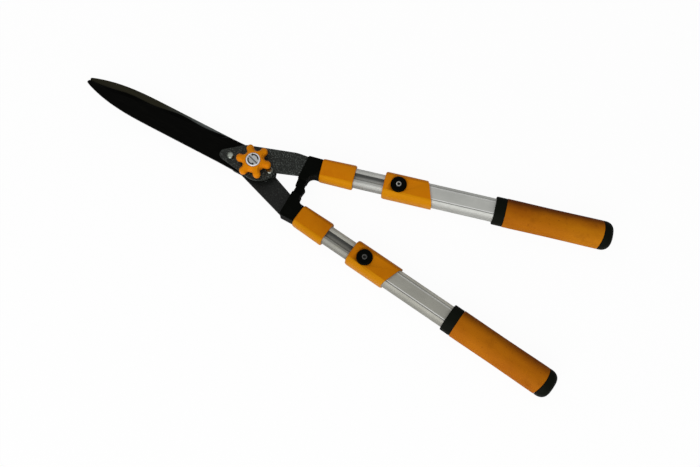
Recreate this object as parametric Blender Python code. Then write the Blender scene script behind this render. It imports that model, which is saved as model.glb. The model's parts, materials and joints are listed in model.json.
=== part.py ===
"""Telescopic hedge shears, closed and lying flat.

Metres, +Z up. The origin is the middle of the pivot bolt head's flat underside, on the pivot
axis. -X runs towards the blade tips and +X towards the grips. The front lever lies on top and
has its handle on the +Y side; the rear lever lies below and has its handle on the -Y side.
"""
import math

import bmesh
import bpy
from mathutils import Matrix, Vector

# Clearances
GAP = 0.0003             # between pieces that seat on each other
SLIDE_CLEAR = 0.00045    # between the telescoping tubes
EDGE_BREAK = 0.0005      # small bevel on stamped plates
SMALL_CHAMFER = 0.0008   # on moulded rims and turned ends
FINE_CHAMFER = 0.0003    # on small turned pieces
RUN_OUT = 0.0020         # how far a cutter stands past the face it opens

# Steps of round forms and how close points are merged
TURN_STEPS = 24
RIVET_STEPS = 16
SCREW_STEPS = 16
KNOB_STEPS = 30
OVAL_STEPS = 24
CORNER_STEPS = 6
EDGE_STEPS = 34
SPINE_STEPS = 13
KEYHOLE_STEPS = 14
SPRING_STEPS = 8         # per turn
MERGE = 1e-7
SHARP_ANGLE = math.radians(35)

# Levers: stack of plates on the pivot, from the underside up
BOLT_HEAD_THICK = 0.0050
DISC_SPRING_THICK = 0.0026
ARM_THICK = 0.0040
BLADE_THICK = 0.0030
THRUST_WASHER_THICK = 0.0015

# Pivot bolt, washers and rivets
BOLT_HEAD_RADIUS = 0.0115
BOLT_NECK = 0.0102       # side of the square neck in the rear arm
SHANK_RADIUS = 0.0050
THREAD_RADIUS = 0.0040
THREAD_LENGTH = 0.0090
DISC_SPRING_RADIUS = 0.0105
DISC_SPRING_DISH = 0.0009
THRUST_WASHER_RADIUS = 0.0120
RIVET_RADIUS = 0.0030
RIVET_HEAD_RADIUS = 0.0048
RIVET_HEAD_HEIGHT = 0.0026
RIVET_DOME = (0.0, 0.35, 0.70, 1.10)     # angles of the head's rings
RIVET_SINK_RADIUS = 0.0042
RIVET_SINK_DEPTH = 0.0012
NOSE_RIVET = (-0.0319, -0.0030)
HEEL_RIVET = (0.0224, -0.0006)

# Blades, in a frame that is turned by BLADE_SKEW from the handles' middle line
BLADE_SKEW = math.radians(4.0)
BLADE_REACH = 0.2510     # pivot axis to tip
SPINE_HALF = 0.0183      # pivot axis line to the spine
SPINE_BEND = 0.1400      # where the spine starts to curve in
TIP_DROP = 0.0040        # how far the tip lies to the spine side
EDGE_START = 0.0450
EDGE_END = 0.2480
EDGE_HALF = 0.0172       # pivot axis line to the cutting edge at its start
EDGE_DRAW = 0.0170       # how far the edge draws in over its length
WAVE_PITCH = 0.0740
WAVE_DEPTH = 0.0026
WAVE_RUN_OUT = 0.0500    # length over which the waves fade towards the tip
GRIND_WIDTH = 0.0060
GRIND_RUN_IN = 0.0120
GRIND_RUN_OUT = 0.0300
EDGE_LAND = 0.0006       # thickness left at the cutting edge
HEEL_SHOULDER = (-0.0040, 0.0182, 0.015)
HEEL_CORNER = (0.0220, 0.0125, 0.008)
TANG_CENTRE = (0.0052, 0.0049)
TANG_RADIUS = 0.0244
TANG_ARC = (math.radians(-12), math.radians(-100))

# Arm plates: round head and nose, then the outer edge's bends and the inner edge's start
ARM_HEAD_CENTRE = (0.0055, 0.0045)
ARM_HEAD_RADIUS = 0.0246
NOSE_CORNER = (-0.0564, -0.0072)
NOSE_RADIUS = 0.0071
ARM_HEAD_ARC = (math.radians(-8), math.radians(-102.8))
FRONT_BROW = (-0.0205, 0.0186, 0.012)
FRONT_BEND = (0.0440, 0.0360, 0.040)
REAR_WAIST = (-0.0235, -0.0160, 0.006)
REAR_BEND = (-0.0110, -0.0168, 0.010)
FRONT_THROAT = (0.0312, 0.0008)
REAR_THROAT = (0.0295, -0.0017)
THROAT_RADIUS = 0.0010

# Arm ends, measured in the handle's frame, where they enter the bumpers
SHOULDER_SETBACK = 0.0160    # ferrule to where the arm narrows to its tang
FRONT_ARM_OUTER = 0.0112
FRONT_ARM_INNER = 0.0146
REAR_ARM_OUTER = 0.0125
REAR_ARM_INNER = 0.0150
TANG_HALF = 0.0075
TANG_SETBACK = 0.0030

# Handles' middle line and spread
HANDLE_MID_Y = -0.0042
HANDLE_START_X = 0.0800
HANDLE_START_HALF = 0.0332
HANDLE_SPREAD = math.radians(10.73)

# Bumper sockets
BUMPER_HEIGHT = 0.0200
FRONT_BUMPER_CORNER = (0.0590, 0.0420)
REAR_BUMPER_CORNER = (0.0580, 0.0433)
BUMPER_CORNER_RADIUS = 0.0018
FRONT_LEG_BEND = (0.0588, 0.0115)
REAR_LEG_BEND = (0.0597, 0.0161)
LEG_NEAR_X = 0.0595
LEG_FAR_X = 0.0702
LEG_STEP = 0.0016        # the rear leg stands this much towards the handle
LEG_FLARE = 0.0017       # and its foot this much more
LEG_WAIST = 0.0085       # middle line to where it starts to flare
LEG_WAIST_RADIUS = 0.0120
LEG_FILLET = 0.0085
LEG_FOOT_RADIUS = 0.0016
LEG_HEIGHT = 0.0090
LEG_ROOT = 0.0095        # middle line to where the leg meets the socket
SEAM_NEAR = -0.0011      # seam between the feet, from the middle line at LEG_NEAR_X
SEAM_SLOPE = 0.18
BUMPER_BEVEL = 0.0012
SEAT_RUN_OUT = 0.0080
INNER_SHOULDER = 0.0120  # handle's axis to the socket's inner shoulder
OUTER_SHOULDER = 0.0118  # handle's axis to the socket's outer shoulder
NECK_LENGTH = 0.0137
NECK_ROOT = 0.0020       # part of the neck inside the socket
SPIGOT_LENGTH = 0.0200

# Tube sections: width, height and width of the flat
INNER_WIDTH = 0.0250
INNER_HEIGHT = 0.0174
INNER_FLAT = 0.0140
INNER_WALL = 0.0015
OUTER_WALL = 0.0018
CHANNEL_WIDTH = 0.0090
CHANNEL_DEPTH = 0.0030
RIDGE_WIDTH = 0.0009
RIDGE_DEPTH = 0.0005

# Places along a handle, measured from the ferrule's front end
FERRULE_LENGTH = 0.0433
GUIDE_LENGTH = 0.0120
GUIDE_SPIGOT = 0.0150
SLEEVE_START = 0.0813
SLEEVE_LENGTH = 0.0596
OUTER_TUBE_START = 0.1120
COLLAR_START = 0.2226
COLLAR_LENGTH = 0.0137
GRIP_LENGTH = 0.1230
CAP_LENGTH = 0.0122
END_PLAY = 0.0053        # closed: tube guide to the end cap's plug

# Ferrule, sleeve, grip and cap sections
FERRULE_FRONT_WIDTH = 0.0300
FERRULE_REAR_WIDTH = 0.0316
FERRULE_HEIGHT = 0.0225
FERRULE_FLAT = 0.0178
SLEEVE_WIDTH = 0.0340
SLEEVE_HEIGHT = 0.0275
SLEEVE_FLAT = 0.0195
SLEEVE_SLANT = math.radians(17.0)
SLEEVE_CORNER = 0.0030
SLEEVE_NOSE = ((0.0, 0.55), (0.13, 0.26), (0.5, 0.07), (1.0, 0.0))   # shares of the corner
SLEEVE_REAR_CORNER = 0.0045
GRIP_WIDTH = 0.0358
GRIP_HEIGHT = 0.0320
GRIP_POWER = 2.4
SEAM_BOW = 0.0030        # how far the cap seam bows out along the middle
CAP_PLUG = 0.0110
CAP_ARC = (0.12, 1.42)   # angles of the dome's first and last ring
CAP_FULLNESS = 0.55      # 1 would make the dome an ellipsoid

# Lock: button, pin, screw, spring and the keyholes they work in
LOCK_FROM_SLEEVE = 0.0186
BUTTON_RADIUS = 0.0100
BUTTON_PROUD = 0.0035    # how far the pressed button stands above the sleeve
BUTTON_CHAMFER = 0.0014
BUTTON_RIM = 0.0010      # flat of the raised rim
BUTTON_DISH = 0.0003     # face inside the rim
POCKET_FLOOR = 0.0010    # thickness of sleeve left under the button
PIN_TOP_RADIUS = 0.0028
PIN_TOP_HEIGHT = 0.0040
PIN_NECK_RADIUS = 0.0020
COLLAR_RADIUS = 0.0035
COLLAR_THICK = 0.0020
COLLAR_DROP = 0.0008     # pressed collar to the tube wall above it
BOSS_RADIUS = 0.0042
SCREW_HEAD_RADIUS = 0.0035
SCREW_HEAD_HEIGHT = 0.0016
SCREW_RADIUS = 0.0013
SOCKET_RADIUS = 0.0014
SOCKET_DEPTH = 0.0009
SPRING_WIRE = 0.0008
SPRING_RADIUS = 0.0052
SPRING_TURNS = 3.5
RECESS_DEPTH = 0.0046
LOCK_STEP = 0.0550
LOCK_STEPS = 3

# Star knob and its slotted insert
KNOB_LOBES = 6
KNOB_REACH = 0.0226
LOBE_RADIUS = 0.0048
KNOB_VALLEY = 0.0138
KNOB_TURN = math.radians(8.7)
LOBE_LIFT = 0.0018       # hub's underside to the lobes' underside
LOBE_THICK = 0.0085
LOBE_BEVEL = 0.0016
HUB_RADIUS = 0.0146
HUB_HEIGHT = 0.0125
HUB_ROUND = 0.0026
INSERT_RADIUS = 0.0092
INSERT_FLANGE = 0.0022
INSERT_STEM_RADIUS = 0.0065
INSERT_CAP = 0.0040      # metal above the blind thread
SLOT_WIDTH = 0.0018
SLOT_DEPTH = 0.0009
SLOT_TURN = math.radians(-20)

# Heights that follow from the stack
REAR_ARM_Z = BOLT_HEAD_THICK + DISC_SPRING_THICK + 2 * GAP
REAR_BLADE_Z = REAR_ARM_Z + ARM_THICK + GAP
FRONT_BLADE_Z = REAR_BLADE_Z + BLADE_THICK + GAP
FRONT_ARM_Z = FRONT_BLADE_Z + BLADE_THICK + GAP
THRUST_WASHER_Z = FRONT_ARM_Z + ARM_THICK + GAP
KNOB_Z = THRUST_WASHER_Z + THRUST_WASHER_THICK + GAP
HANDLE_Z = GRIP_HEIGHT / 2

FRONT = 1
REAR = -1
SIDE_NAME = {FRONT: "front", REAR: "rear"}

BLACK_PLASTIC = ((0.012, 0.013, 0.012), 0.55, 0.0)
ORANGE_PLASTIC = ((0.52, 0.15, 0.010), 0.45, 0.0)
ALUMINIUM = ((0.62, 0.62, 0.60), 0.35, 1.0)
BRIGHT_STEEL = ((0.60, 0.60, 0.58), 0.28, 1.0)
ARM_COAT = ((0.030, 0.033, 0.030), 0.62, 0.3)
BLADE_COAT = ((0.010, 0.010, 0.009), 0.35, 0.6)
REAR_BLADE_COAT = ((0.040, 0.038, 0.028), 0.40, 0.7)


def clear_scene():
    for item in list(bpy.data.objects):
        bpy.data.objects.remove(item)


def frame(name, location, turn=0.0, parent=None):
    """An empty that carries the pieces of one moving body."""
    empty = bpy.data.objects.new(name, None)
    bpy.context.scene.collection.objects.link(empty)
    empty.location = location
    empty.rotation_euler = (0.0, 0.0, turn)
    empty.parent = parent
    return empty


def finish_material(name, finish):
    colour, roughness, metallic = finish
    material = bpy.data.materials.new(name)
    material.use_nodes = True
    shader = material.node_tree.nodes["Principled BSDF"]
    shader.inputs["Base Color"].default_value = (*colour, 1.0)
    shader.inputs["Roughness"].default_value = roughness
    shader.inputs["Metallic"].default_value = metallic
    return material


def piece(name, bm, finish, parent, location=(0.0, 0.0, 0.0), turn=0.0):
    """Turn a bmesh into a named object with its own material."""
    bmesh.ops.recalc_face_normals(bm, faces=bm.faces)
    mesh = bpy.data.meshes.new(name)
    bm.to_mesh(mesh)
    bm.free()
    mesh.shade_smooth()
    mesh.set_sharp_from_angle(angle=SHARP_ANGLE)
    mesh.materials.append(finish_material(name, finish))
    item = bpy.data.objects.new(name, mesh)
    bpy.context.scene.collection.objects.link(item)
    item.parent = parent
    item.location = location
    item.rotation_euler = (0.0, 0.0, turn)
    return item


def boolean(target, operation, bm, label, location=(0.0, 0.0, 0.0), turn=0.0):
    """Cut or join a shape that is built in the target's own frame."""
    bmesh.ops.recalc_face_normals(bm, faces=bm.faces)
    mesh = bpy.data.meshes.new(label)
    bm.to_mesh(mesh)
    bm.free()
    tool = bpy.data.objects.new(target.name + "_" + label, mesh)
    bpy.context.scene.collection.objects.link(tool)
    tool.parent = target
    tool.location = location
    tool.rotation_euler = (0.0, 0.0, turn)
    tool.hide_render = True
    tool.display_type = "WIRE"
    modifier = target.modifiers.new(label, "BOOLEAN")
    modifier.operation = operation
    modifier.object = tool


def cut(target, bm, label, **place):
    boolean(target, "DIFFERENCE", bm, label, **place)


def join(target, bm, label, **place):
    boolean(target, "UNION", bm, label, **place)


def skin(rings):
    """Bridge closed rings of points and cap the two ends."""
    bm = bmesh.new()
    loops = []
    for ring in rings:
        corners = [bm.verts.new(point) for point in ring]
        loops.append([bm.edges.new(pair) for pair in zip(corners, corners[1:] + corners[:1])])
    for near, far in zip(loops, loops[1:]):
        bmesh.ops.bridge_loops(bm, edges=near + far)
    bmesh.ops.holes_fill(bm, edges=loops[0] + loops[-1], sides=0)
    return bm


def prism(outline, bottom, top):
    """Extrude a flat outline upwards."""
    bm = bmesh.new()
    face = bm.faces.new([bm.verts.new((x, y, bottom)) for x, y in outline])
    made = bmesh.ops.extrude_face_region(bm, geom=[face])["geom"]
    raised = [item for item in made if isinstance(item, bmesh.types.BMVert)]
    bmesh.ops.translate(bm, verts=raised, vec=(0.0, 0.0, top - bottom))
    return bm


def break_edges(bm, width, segments=1):
    """Bevel the rims of a prism's flat top and bottom."""
    bmesh.ops.recalc_face_normals(bm, faces=bm.faces)
    rims = [edge for edge in bm.edges
            if abs(edge.verts[0].co.z - edge.verts[1].co.z) < MERGE]
    bmesh.ops.bevel(bm, geom=rims, offset=width, offset_type="OFFSET", segments=segments,
                    profile=0.5, affect="EDGES", clamp_overlap=True, material=-1)
    return bm


def turned(profile, steps=TURN_STEPS, closed=False):
    """Spin a profile of (radius, height) points about Z; closed rings need no axis points."""
    bm = bmesh.new()
    line = [bm.verts.new((radius, 0.0, height)) for radius, height in profile]
    pairs = list(zip(line, line[1:]))
    if closed:
        pairs.append((line[-1], line[0]))
    edges = [bm.edges.new(pair) for pair in pairs]
    bmesh.ops.spin(bm, geom=line + edges, cent=(0, 0, 0), axis=(0, 0, 1),
                   angle=math.tau, steps=steps, use_merge=True, use_duplicate=False)
    bmesh.ops.remove_doubles(bm, verts=bm.verts, dist=MERGE)
    return bm


def disc_tool(radius, bottom, top, steps=TURN_STEPS):
    return turned([(0.0, bottom), (radius, bottom), (radius, top), (0.0, top)], steps)


def arc(centre, radius, start, end, steps):
    """Points on an arc, angles in radians."""
    points = []
    for step in range(steps + 1):
        angle = start + (end - start) * step / steps
        points.append((centre[0] + radius * math.cos(angle), centre[1] + radius * math.sin(angle)))
    return points


def rounded(corners, steps=CORNER_STEPS):
    """Outline through corners (x, y, radius), each rounded with an arc of its radius."""
    points = []
    count = len(corners)
    for index, (x, y, radius) in enumerate(corners):
        here = Vector((x, y))
        if radius <= 0.0:
            points.append((x, y))
            continue
        back = (Vector(corners[index - 1][:2]) - here).normalized()
        ahead = (Vector(corners[(index + 1) % count][:2]) - here).normalized()
        half = back.angle(ahead) / 2
        middle = here + (back + ahead).normalized() * radius / math.sin(half)
        first = here + back * radius / math.tan(half) - middle
        last = here + ahead * radius / math.tan(half) - middle
        sweep = math.atan2(first.x * last.y - first.y * last.x, first.dot(last))
        start = math.atan2(first.y, first.x)
        points += arc(middle, radius, start, start + sweep, steps)
    return points


def flat_oval(width, height, flat, steps=CORNER_STEPS):
    """Tube section with a flat top and bottom and elliptical sides, as (y, z) points."""
    bulge = (width - flat) / 2
    points = []
    for hand in (1, -1):
        for step in range(steps + 1):
            angle = math.pi * step / steps - math.pi / 2
            points.append((hand * (flat / 2 + bulge * math.cos(angle)),
                           hand * height / 2 * math.sin(angle)))
    return points


def soft_oval(width, height):
    """Superellipse section of a grip, as (y, z) points."""
    points = []
    for step in range(OVAL_STEPS):
        angle = math.tau * step / OVAL_STEPS
        c, s = math.cos(angle), math.sin(angle)
        points.append((math.copysign(abs(c) ** (2 / GRIP_POWER), c) * width / 2,
                       math.copysign(abs(s) ** (2 / GRIP_POWER), s) * height / 2))
    return points


def at(x, section):
    """Place a section across the handle."""
    return [(x, y, z) for y, z in section]


def run(section, start, end):
    return skin([at(start, section), at(end, section)])


def inner_outline(extra=0.0):
    return flat_oval(INNER_WIDTH + 2 * extra, INNER_HEIGHT + 2 * extra, INNER_FLAT)


def inner_bore(inset=0.0):
    """Inside of the inner tube; its roof lies under the channel."""
    width = INNER_WIDTH - 2 * (INNER_WALL + inset)
    floor = -INNER_HEIGHT / 2 + INNER_WALL + inset
    roof = INNER_HEIGHT / 2 - CHANNEL_DEPTH - INNER_WALL - inset
    middle = (roof + floor) / 2
    section = flat_oval(width, roof - floor, INNER_FLAT - 2 * (INNER_WALL + inset))
    return [(y, z + middle) for y, z in section]


def outer_bore(inset=0.0):
    extra = SLIDE_CLEAR - inset
    return flat_oval(INNER_WIDTH + 2 * extra, INNER_HEIGHT + 2 * extra, INNER_FLAT)


def outer_outline(extra=0.0):
    grow = SLIDE_CLEAR + OUTER_WALL + extra
    return flat_oval(INNER_WIDTH + 2 * grow, INNER_HEIGHT + 2 * grow,
                     INNER_FLAT + 2 * OUTER_WALL)


def cap_seam():
    """Place of the seam between grip and end cap, on the handle's axis."""
    return COLLAR_START + COLLAR_LENGTH + GRIP_LENGTH


def cap_plug_start():
    return cap_seam() + GAP - CAP_PLUG - SEAM_BOW


def inner_tube_end():
    return cap_plug_start() - END_PLAY - GUIDE_LENGTH - GAP


# Blades

def spine_offset(reach):
    """Distance from the blade's axis to its spine, at a distance from the pivot."""
    if reach <= SPINE_BEND:
        return SPINE_HALF
    share = (reach - SPINE_BEND) / (BLADE_REACH - SPINE_BEND)
    return TIP_DROP + (SPINE_HALF - TIP_DROP) * (1 - share ** 3)


def edge_base(reach):
    """The cutting edge without its waves."""
    share = (reach - EDGE_START) / (EDGE_END - EDGE_START)
    return EDGE_HALF - EDGE_DRAW * share ** 2


def edge_offset(reach):
    """The cutting edge with its waves, which fade towards the tip."""
    phase = math.tau * (reach - EDGE_START) / WAVE_PITCH
    fade = min(1.0, (EDGE_END - reach) / WAVE_RUN_OUT)
    return edge_base(reach) - fade * WAVE_DEPTH / 2 * (1 - math.cos(phase))


def grind_line(reach):
    """Inner border of the ground bevel, which runs out at the heel and at the tip."""
    run_in = min(1.0, (reach - EDGE_START) / GRIND_RUN_IN)
    run_out = min(1.0, (EDGE_END - reach) / GRIND_RUN_OUT)
    full = edge_base(reach) - GRIND_WIDTH
    blend = max(0.0, min(run_in, run_out))
    return edge_offset(reach) * (1 - blend) + full * blend


def spread(start, end, count):
    return [start + (end - start) * step / count for step in range(count + 1)]


def blade_loops():
    """Outlines of the front blade's inner face and of its ground outer face."""
    start, end = TANG_ARC
    head = arc(TANG_CENTRE, TANG_RADIUS, start, end, 2 * CORNER_STEPS)
    spine = [(-reach, -spine_offset(reach))
             for reach in [EDGE_START] + spread(SPINE_BEND, BLADE_REACH, SPINE_STEPS)]
    stations = spread(EDGE_END, EDGE_START, EDGE_STEPS)
    edge = [(-reach, edge_offset(reach)) for reach in stations]
    ground = [(-reach, grind_line(reach)) for reach in stations]
    heel = rounded([(-EDGE_START, EDGE_HALF, 0), HEEL_SHOULDER, HEEL_CORNER, head[0] + (0,)],
                   CORNER_STEPS - 1)
    heel = heel[1:-1]
    return head + spine + edge + heel, head + spine + ground + heel


def blade(side, finish, parent):
    outline, ground = blade_loops()
    land = EDGE_LAND if side == FRONT else -EDGE_LAND
    inner = 0.0 if side == FRONT else BLADE_THICK
    outer = BLADE_THICK - inner
    rings = [[(x, side * y, z) for x, y in loop]
             for loop, z in ((outline, inner), (outline, inner + land), (ground, outer))]
    level = FRONT_BLADE_Z if side == FRONT else REAR_BLADE_Z
    item = piece(SIDE_NAME[side] + "_blade", skin(rings), finish, parent,
                 location=(0, 0, level), turn=-BLADE_SKEW)
    cut(item, disc_tool(SHANK_RADIUS + GAP, -RUN_OUT, BLADE_THICK + RUN_OUT), "pivot_hole")
    for label, place in (("nose", NOSE_RIVET), ("heel", HEEL_RIVET)):
        spot = Matrix.Rotation(BLADE_SKEW, 4, "Z") @ Vector((place[0], side * place[1], 0))
        cut(item, rivet_hole(side), label + "_rivet_hole", location=spot)
    return item


def rivet_hole(side):
    """Hole with a countersink in the blade's inner face."""
    sink = RIVET_SINK_RADIUS + GAP
    hole = RIVET_RADIUS + GAP
    top = BLADE_THICK + RUN_OUT
    profile = [(0.0, -RUN_OUT), (sink, -RUN_OUT), (sink, 0.0), (hole, RIVET_SINK_DEPTH + GAP),
               (hole, top), (0.0, top)]
    if side == REAR:
        profile = [(radius, BLADE_THICK - height) for radius, height in profile]
    return turned(profile, RIVET_STEPS)


# Arm plates

def handle_point(side, along, across):
    """Tool-frame point for a place along a handle and outwards across it."""
    c, s = math.cos(HANDLE_SPREAD), math.sin(HANDLE_SPREAD)
    x = HANDLE_START_X + along * c - across * s
    half = HANDLE_START_HALF + along * s + across * c
    return x, HANDLE_MID_Y + side * half


def arm_edges(side):
    """Outer and inner edge of an arm, each as two (x, y) points of a straight line."""
    back = -SHOULDER_SETBACK
    if side == FRONT:
        return ((FRONT_BEND[:2], handle_point(side, back, FRONT_ARM_OUTER)),
                (FRONT_THROAT, handle_point(side, back, -FRONT_ARM_INNER)))
    return ((REAR_BEND[:2], handle_point(side, back, REAR_ARM_OUTER)),
            (REAR_THROAT, handle_point(side, back, -REAR_ARM_INNER)))


def point_on(line, x):
    (x0, y0), (x1, y1) = line
    return x, y0 + (y1 - y0) * (x - x0) / (x1 - x0)


def beside(point, side, across):
    """A point moved outwards across the handle."""
    return (point[0] - across * math.sin(HANDLE_SPREAD),
            point[1] + side * across * math.cos(HANDLE_SPREAD))


def arm_tang(side, margin=0.0):
    """Arm's end in the bumper: outer shoulder, tang, then inner shoulder."""
    outer, inner = arm_edges(side)
    shoulder, tip, half = margin - SHOULDER_SETBACK, margin - TANG_SETBACK, TANG_HALF + margin
    return [handle_point(side, shoulder, across_handle(side, outer[1]) + margin),
            handle_point(side, shoulder, half), handle_point(side, tip, half),
            handle_point(side, tip, -half), handle_point(side, shoulder, -half),
            handle_point(side, shoulder, across_handle(side, inner[1]) - margin)]


def across_handle(side, point):
    """How far outwards of the handle's axis a point lies."""
    c, s = math.cos(HANDLE_SPREAD), math.sin(HANDLE_SPREAD)
    outward = side * (point[1] - HANDLE_MID_Y) - HANDLE_START_HALF
    return outward * c - (point[0] - HANDLE_START_X) * s


def bumper_corner(side):
    return FRONT_BUMPER_CORNER if side == FRONT else REAR_BUMPER_CORNER


def arm_seat_outline(side, margin):
    """The tang's outline with the margin all round, open through the bumper's front face."""
    outer, inner = arm_edges(side)
    mouth = bumper_corner(side)[0] - SEAT_RUN_OUT
    first = beside(point_on(outer, mouth), side, margin)
    last = beside(point_on(inner, mouth), side, -margin)
    return [first] + arm_tang(side, margin) + [last]


def arm_outline(side):
    start, end = ARM_HEAD_ARC
    head = arc(ARM_HEAD_CENTRE, ARM_HEAD_RADIUS, start, end, 2 * CORNER_STEPS)
    bends = [FRONT_BROW, FRONT_BEND] if side == FRONT else [REAR_WAIST, REAR_BEND]
    throat = FRONT_THROAT if side == FRONT else REAR_THROAT
    corners = [(NOSE_CORNER[0], side * NOSE_CORNER[1], NOSE_RADIUS)] + bends
    corners += [(x, y, 0) for x, y in arm_tang(side)] + [(*throat, THROAT_RADIUS)]
    corners += [(x, side * y, 0) for x, y in head]
    return rounded(corners)


def arm(side, parent):
    level = FRONT_ARM_Z if side == FRONT else REAR_ARM_Z
    plate = break_edges(prism(arm_outline(side), 0.0, ARM_THICK), EDGE_BREAK)
    item = piece(SIDE_NAME[side] + "_arm", plate, ARM_COAT, parent, location=(0, 0, level))
    if side == FRONT:
        cut(item, disc_tool(SHANK_RADIUS + GAP, -RUN_OUT, ARM_THICK + RUN_OUT), "pivot_hole")
    else:
        half = BOLT_NECK / 2 + GAP
        square = [(-half, -half), (half, -half), (half, half), (-half, half)]
        cut(item, prism(square, -RUN_OUT, ARM_THICK + RUN_OUT), "pivot_hole")
    for label, place in (("nose", NOSE_RIVET), ("heel", HEEL_RIVET)):
        hole = disc_tool(RIVET_RADIUS + GAP, -RUN_OUT, ARM_THICK + RUN_OUT, RIVET_STEPS)
        cut(item, hole, label + "_rivet_hole", location=(place[0], side * place[1], 0))
    return item


def rivet(side, label, place, parent):
    """Domed head on the arm, shank through both plates, flush countersunk tail."""
    length = ARM_THICK + BLADE_THICK + GAP
    dome = [(RIVET_HEAD_RADIUS * math.cos(a), length + GAP + RIVET_HEAD_HEIGHT * math.sin(a))
            for a in RIVET_DOME]
    profile = [(0.0, 0.0), (RIVET_SINK_RADIUS, 0.0), (RIVET_RADIUS, RIVET_SINK_DEPTH),
               (RIVET_RADIUS, length + GAP)]
    profile += dome + [(0.0, length + GAP + RIVET_HEAD_HEIGHT)]
    level = FRONT_BLADE_Z
    if side == REAR:
        profile = [(radius, -height) for radius, height in profile]
        level = REAR_BLADE_Z + BLADE_THICK
    name = "%s_%s_rivet" % (SIDE_NAME[side], label)
    return piece(name, turned(profile, RIVET_STEPS), BRIGHT_STEEL, parent,
                 location=(place[0], side * place[1], level))


# Bumper sockets, ferrules and inner tubes

def beside_middle(side, x, half, *radius):
    """A point at a distance from the handles' middle line, with its corner's radius if any."""
    return x, HANDLE_MID_Y + side * half, *radius


def bumper_outline(side):
    """The socket's outline, with the leg whose foot ends near the handles' middle line."""
    def foot(x):
        return x, side * (SEAM_NEAR + (x - LEG_NEAR_X) * SEAM_SLOPE) + GAP / 2, LEG_FOOT_RADIUS

    top = handle_point(side, -GAP, OUTER_SHOULDER)
    low = handle_point(side, -GAP, -INNER_SHOULDER)
    inner = (low[1] - HANDLE_MID_Y) * side - BUMPER_BEVEL
    near, far = LEG_NEAR_X, LEG_FAR_X
    if side == FRONT:
        leg = [(far, inner, LEG_FILLET), foot(far)]
        bend = FRONT_LEG_BEND
    else:
        near, far = near + LEG_STEP, far + LEG_STEP
        leg = [(far, inner, LEG_FILLET), (far, LEG_WAIST, LEG_WAIST_RADIUS), foot(far + LEG_FLARE)]
        bend = REAR_LEG_BEND
    leg += [foot(near), (*bend, 0.0)]
    corners = [beside_middle(side, *bumper_corner(side), BUMPER_CORNER_RADIUS),
               (*top, 0.0), (*low, 0.0)]
    return rounded(corners + [beside_middle(side, *corner) for corner in leg], CORNER_STEPS - 1)


def leg_relief(side, bottom, top):
    """Cutter that makes the leg thinner than the socket."""
    near, far = LEG_NEAR_X - SEAT_RUN_OUT, LEG_FAR_X + SEAT_RUN_OUT
    outline = [(near, -RUN_OUT), (far, -RUN_OUT), (far, LEG_ROOT), (near, LEG_ROOT)]
    return prism([beside_middle(side, *corner) for corner in outline], bottom, top)


def bumper(side, parent):
    """Moulded socket with the leg that meets the other lever when the shears are closed."""
    item = piece(SIDE_NAME[side] + "_bumper",
                 break_edges(prism(bumper_outline(side), HANDLE_Z - BUMPER_HEIGHT / 2,
                                   HANDLE_Z + BUMPER_HEIGHT / 2), BUMPER_BEVEL, 3),
                 BLACK_PLASTIC, parent)
    face, rim = LEG_HEIGHT / 2, BUMPER_HEIGHT / 2 + RUN_OUT
    cut(item, leg_relief(side, HANDLE_Z + face, HANDLE_Z + rim), "leg_top")
    cut(item, leg_relief(side, HANDLE_Z - rim, HANDLE_Z - face), "leg_underside")
    x, y = handle_point(side, 0.0, 0.0)
    place = {"location": (x, y, HANDLE_Z), "turn": side * HANDLE_SPREAD}
    join(item, run(inner_outline(), -NECK_ROOT, NECK_LENGTH), "neck", **place)
    end = NECK_LENGTH + SPIGOT_LENGTH
    join(item, run(inner_bore(GAP), NECK_LENGTH / 2, end), "spigot", **place)
    level = FRONT_ARM_Z if side == FRONT else REAR_ARM_Z
    seat = prism(arm_seat_outline(side, GAP), level - GAP, level + ARM_THICK + GAP)
    cut(item, seat, "arm_seat")
    return item


def ferrule(side, parent):
    def section(width, shrink=0.0):
        return flat_oval(width - 2 * shrink, FERRULE_HEIGHT - 2 * shrink,
                         FERRULE_FLAT - 2 * shrink)

    lip = SMALL_CHAMFER
    rings = [at(0.0, section(FERRULE_FRONT_WIDTH, lip)),
             at(lip, section(FERRULE_FRONT_WIDTH, lip / 4)),
             at(3 * lip, section(FERRULE_FRONT_WIDTH)),
             at(FERRULE_LENGTH - 3 * lip, section(FERRULE_REAR_WIDTH)),
             at(FERRULE_LENGTH - lip, section(FERRULE_REAR_WIDTH, lip / 4)),
             at(FERRULE_LENGTH, section(FERRULE_REAR_WIDTH, lip))]
    item = piece(SIDE_NAME[side] + "_ferrule", skin(rings), ORANGE_PLASTIC, parent)
    cut(item, run(inner_outline(GAP), -RUN_OUT, FERRULE_LENGTH + RUN_OUT), "bore")
    return item


def channelled_outline():
    """Inner tube's section, with the channel in its flat top."""
    points = inner_outline()
    middle = len(points) // 2
    channel = [(CHANNEL_WIDTH / 2 * math.cos(angle),
                INNER_HEIGHT / 2 - CHANNEL_DEPTH * math.sin(angle))
               for angle in spread(0.0, math.pi, 8)]
    return points[:middle] + channel + points[middle:]


def keyhole_strip():
    """Slot with a round keyhole at each lock position, as one outline along the tube."""
    first = SLEEVE_START + LOCK_FROM_SLEEVE
    half = PIN_NECK_RADIUS + GAP
    hole = COLLAR_RADIUS + GAP
    bite = math.asin(half / hole)
    points = arc((first, 0.0), hole, math.tau - bite, bite, KEYHOLE_STEPS)
    upper = []
    for step in range(1, LOCK_STEPS + 1):
        centre = (first + step * LOCK_STEP, 0.0)
        last = step == LOCK_STEPS
        upper += arc(centre, hole, math.pi - bite, -math.pi + bite if last else bite,
                     KEYHOLE_STEPS if last else KEYHOLE_STEPS // 2)
    lower = []
    for step in range(LOCK_STEPS - 1, 0, -1):
        centre = (first + step * LOCK_STEP, 0.0)
        lower += arc(centre, hole, -bite, -math.pi + bite, KEYHOLE_STEPS // 2)
    return points + upper + lower


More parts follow.
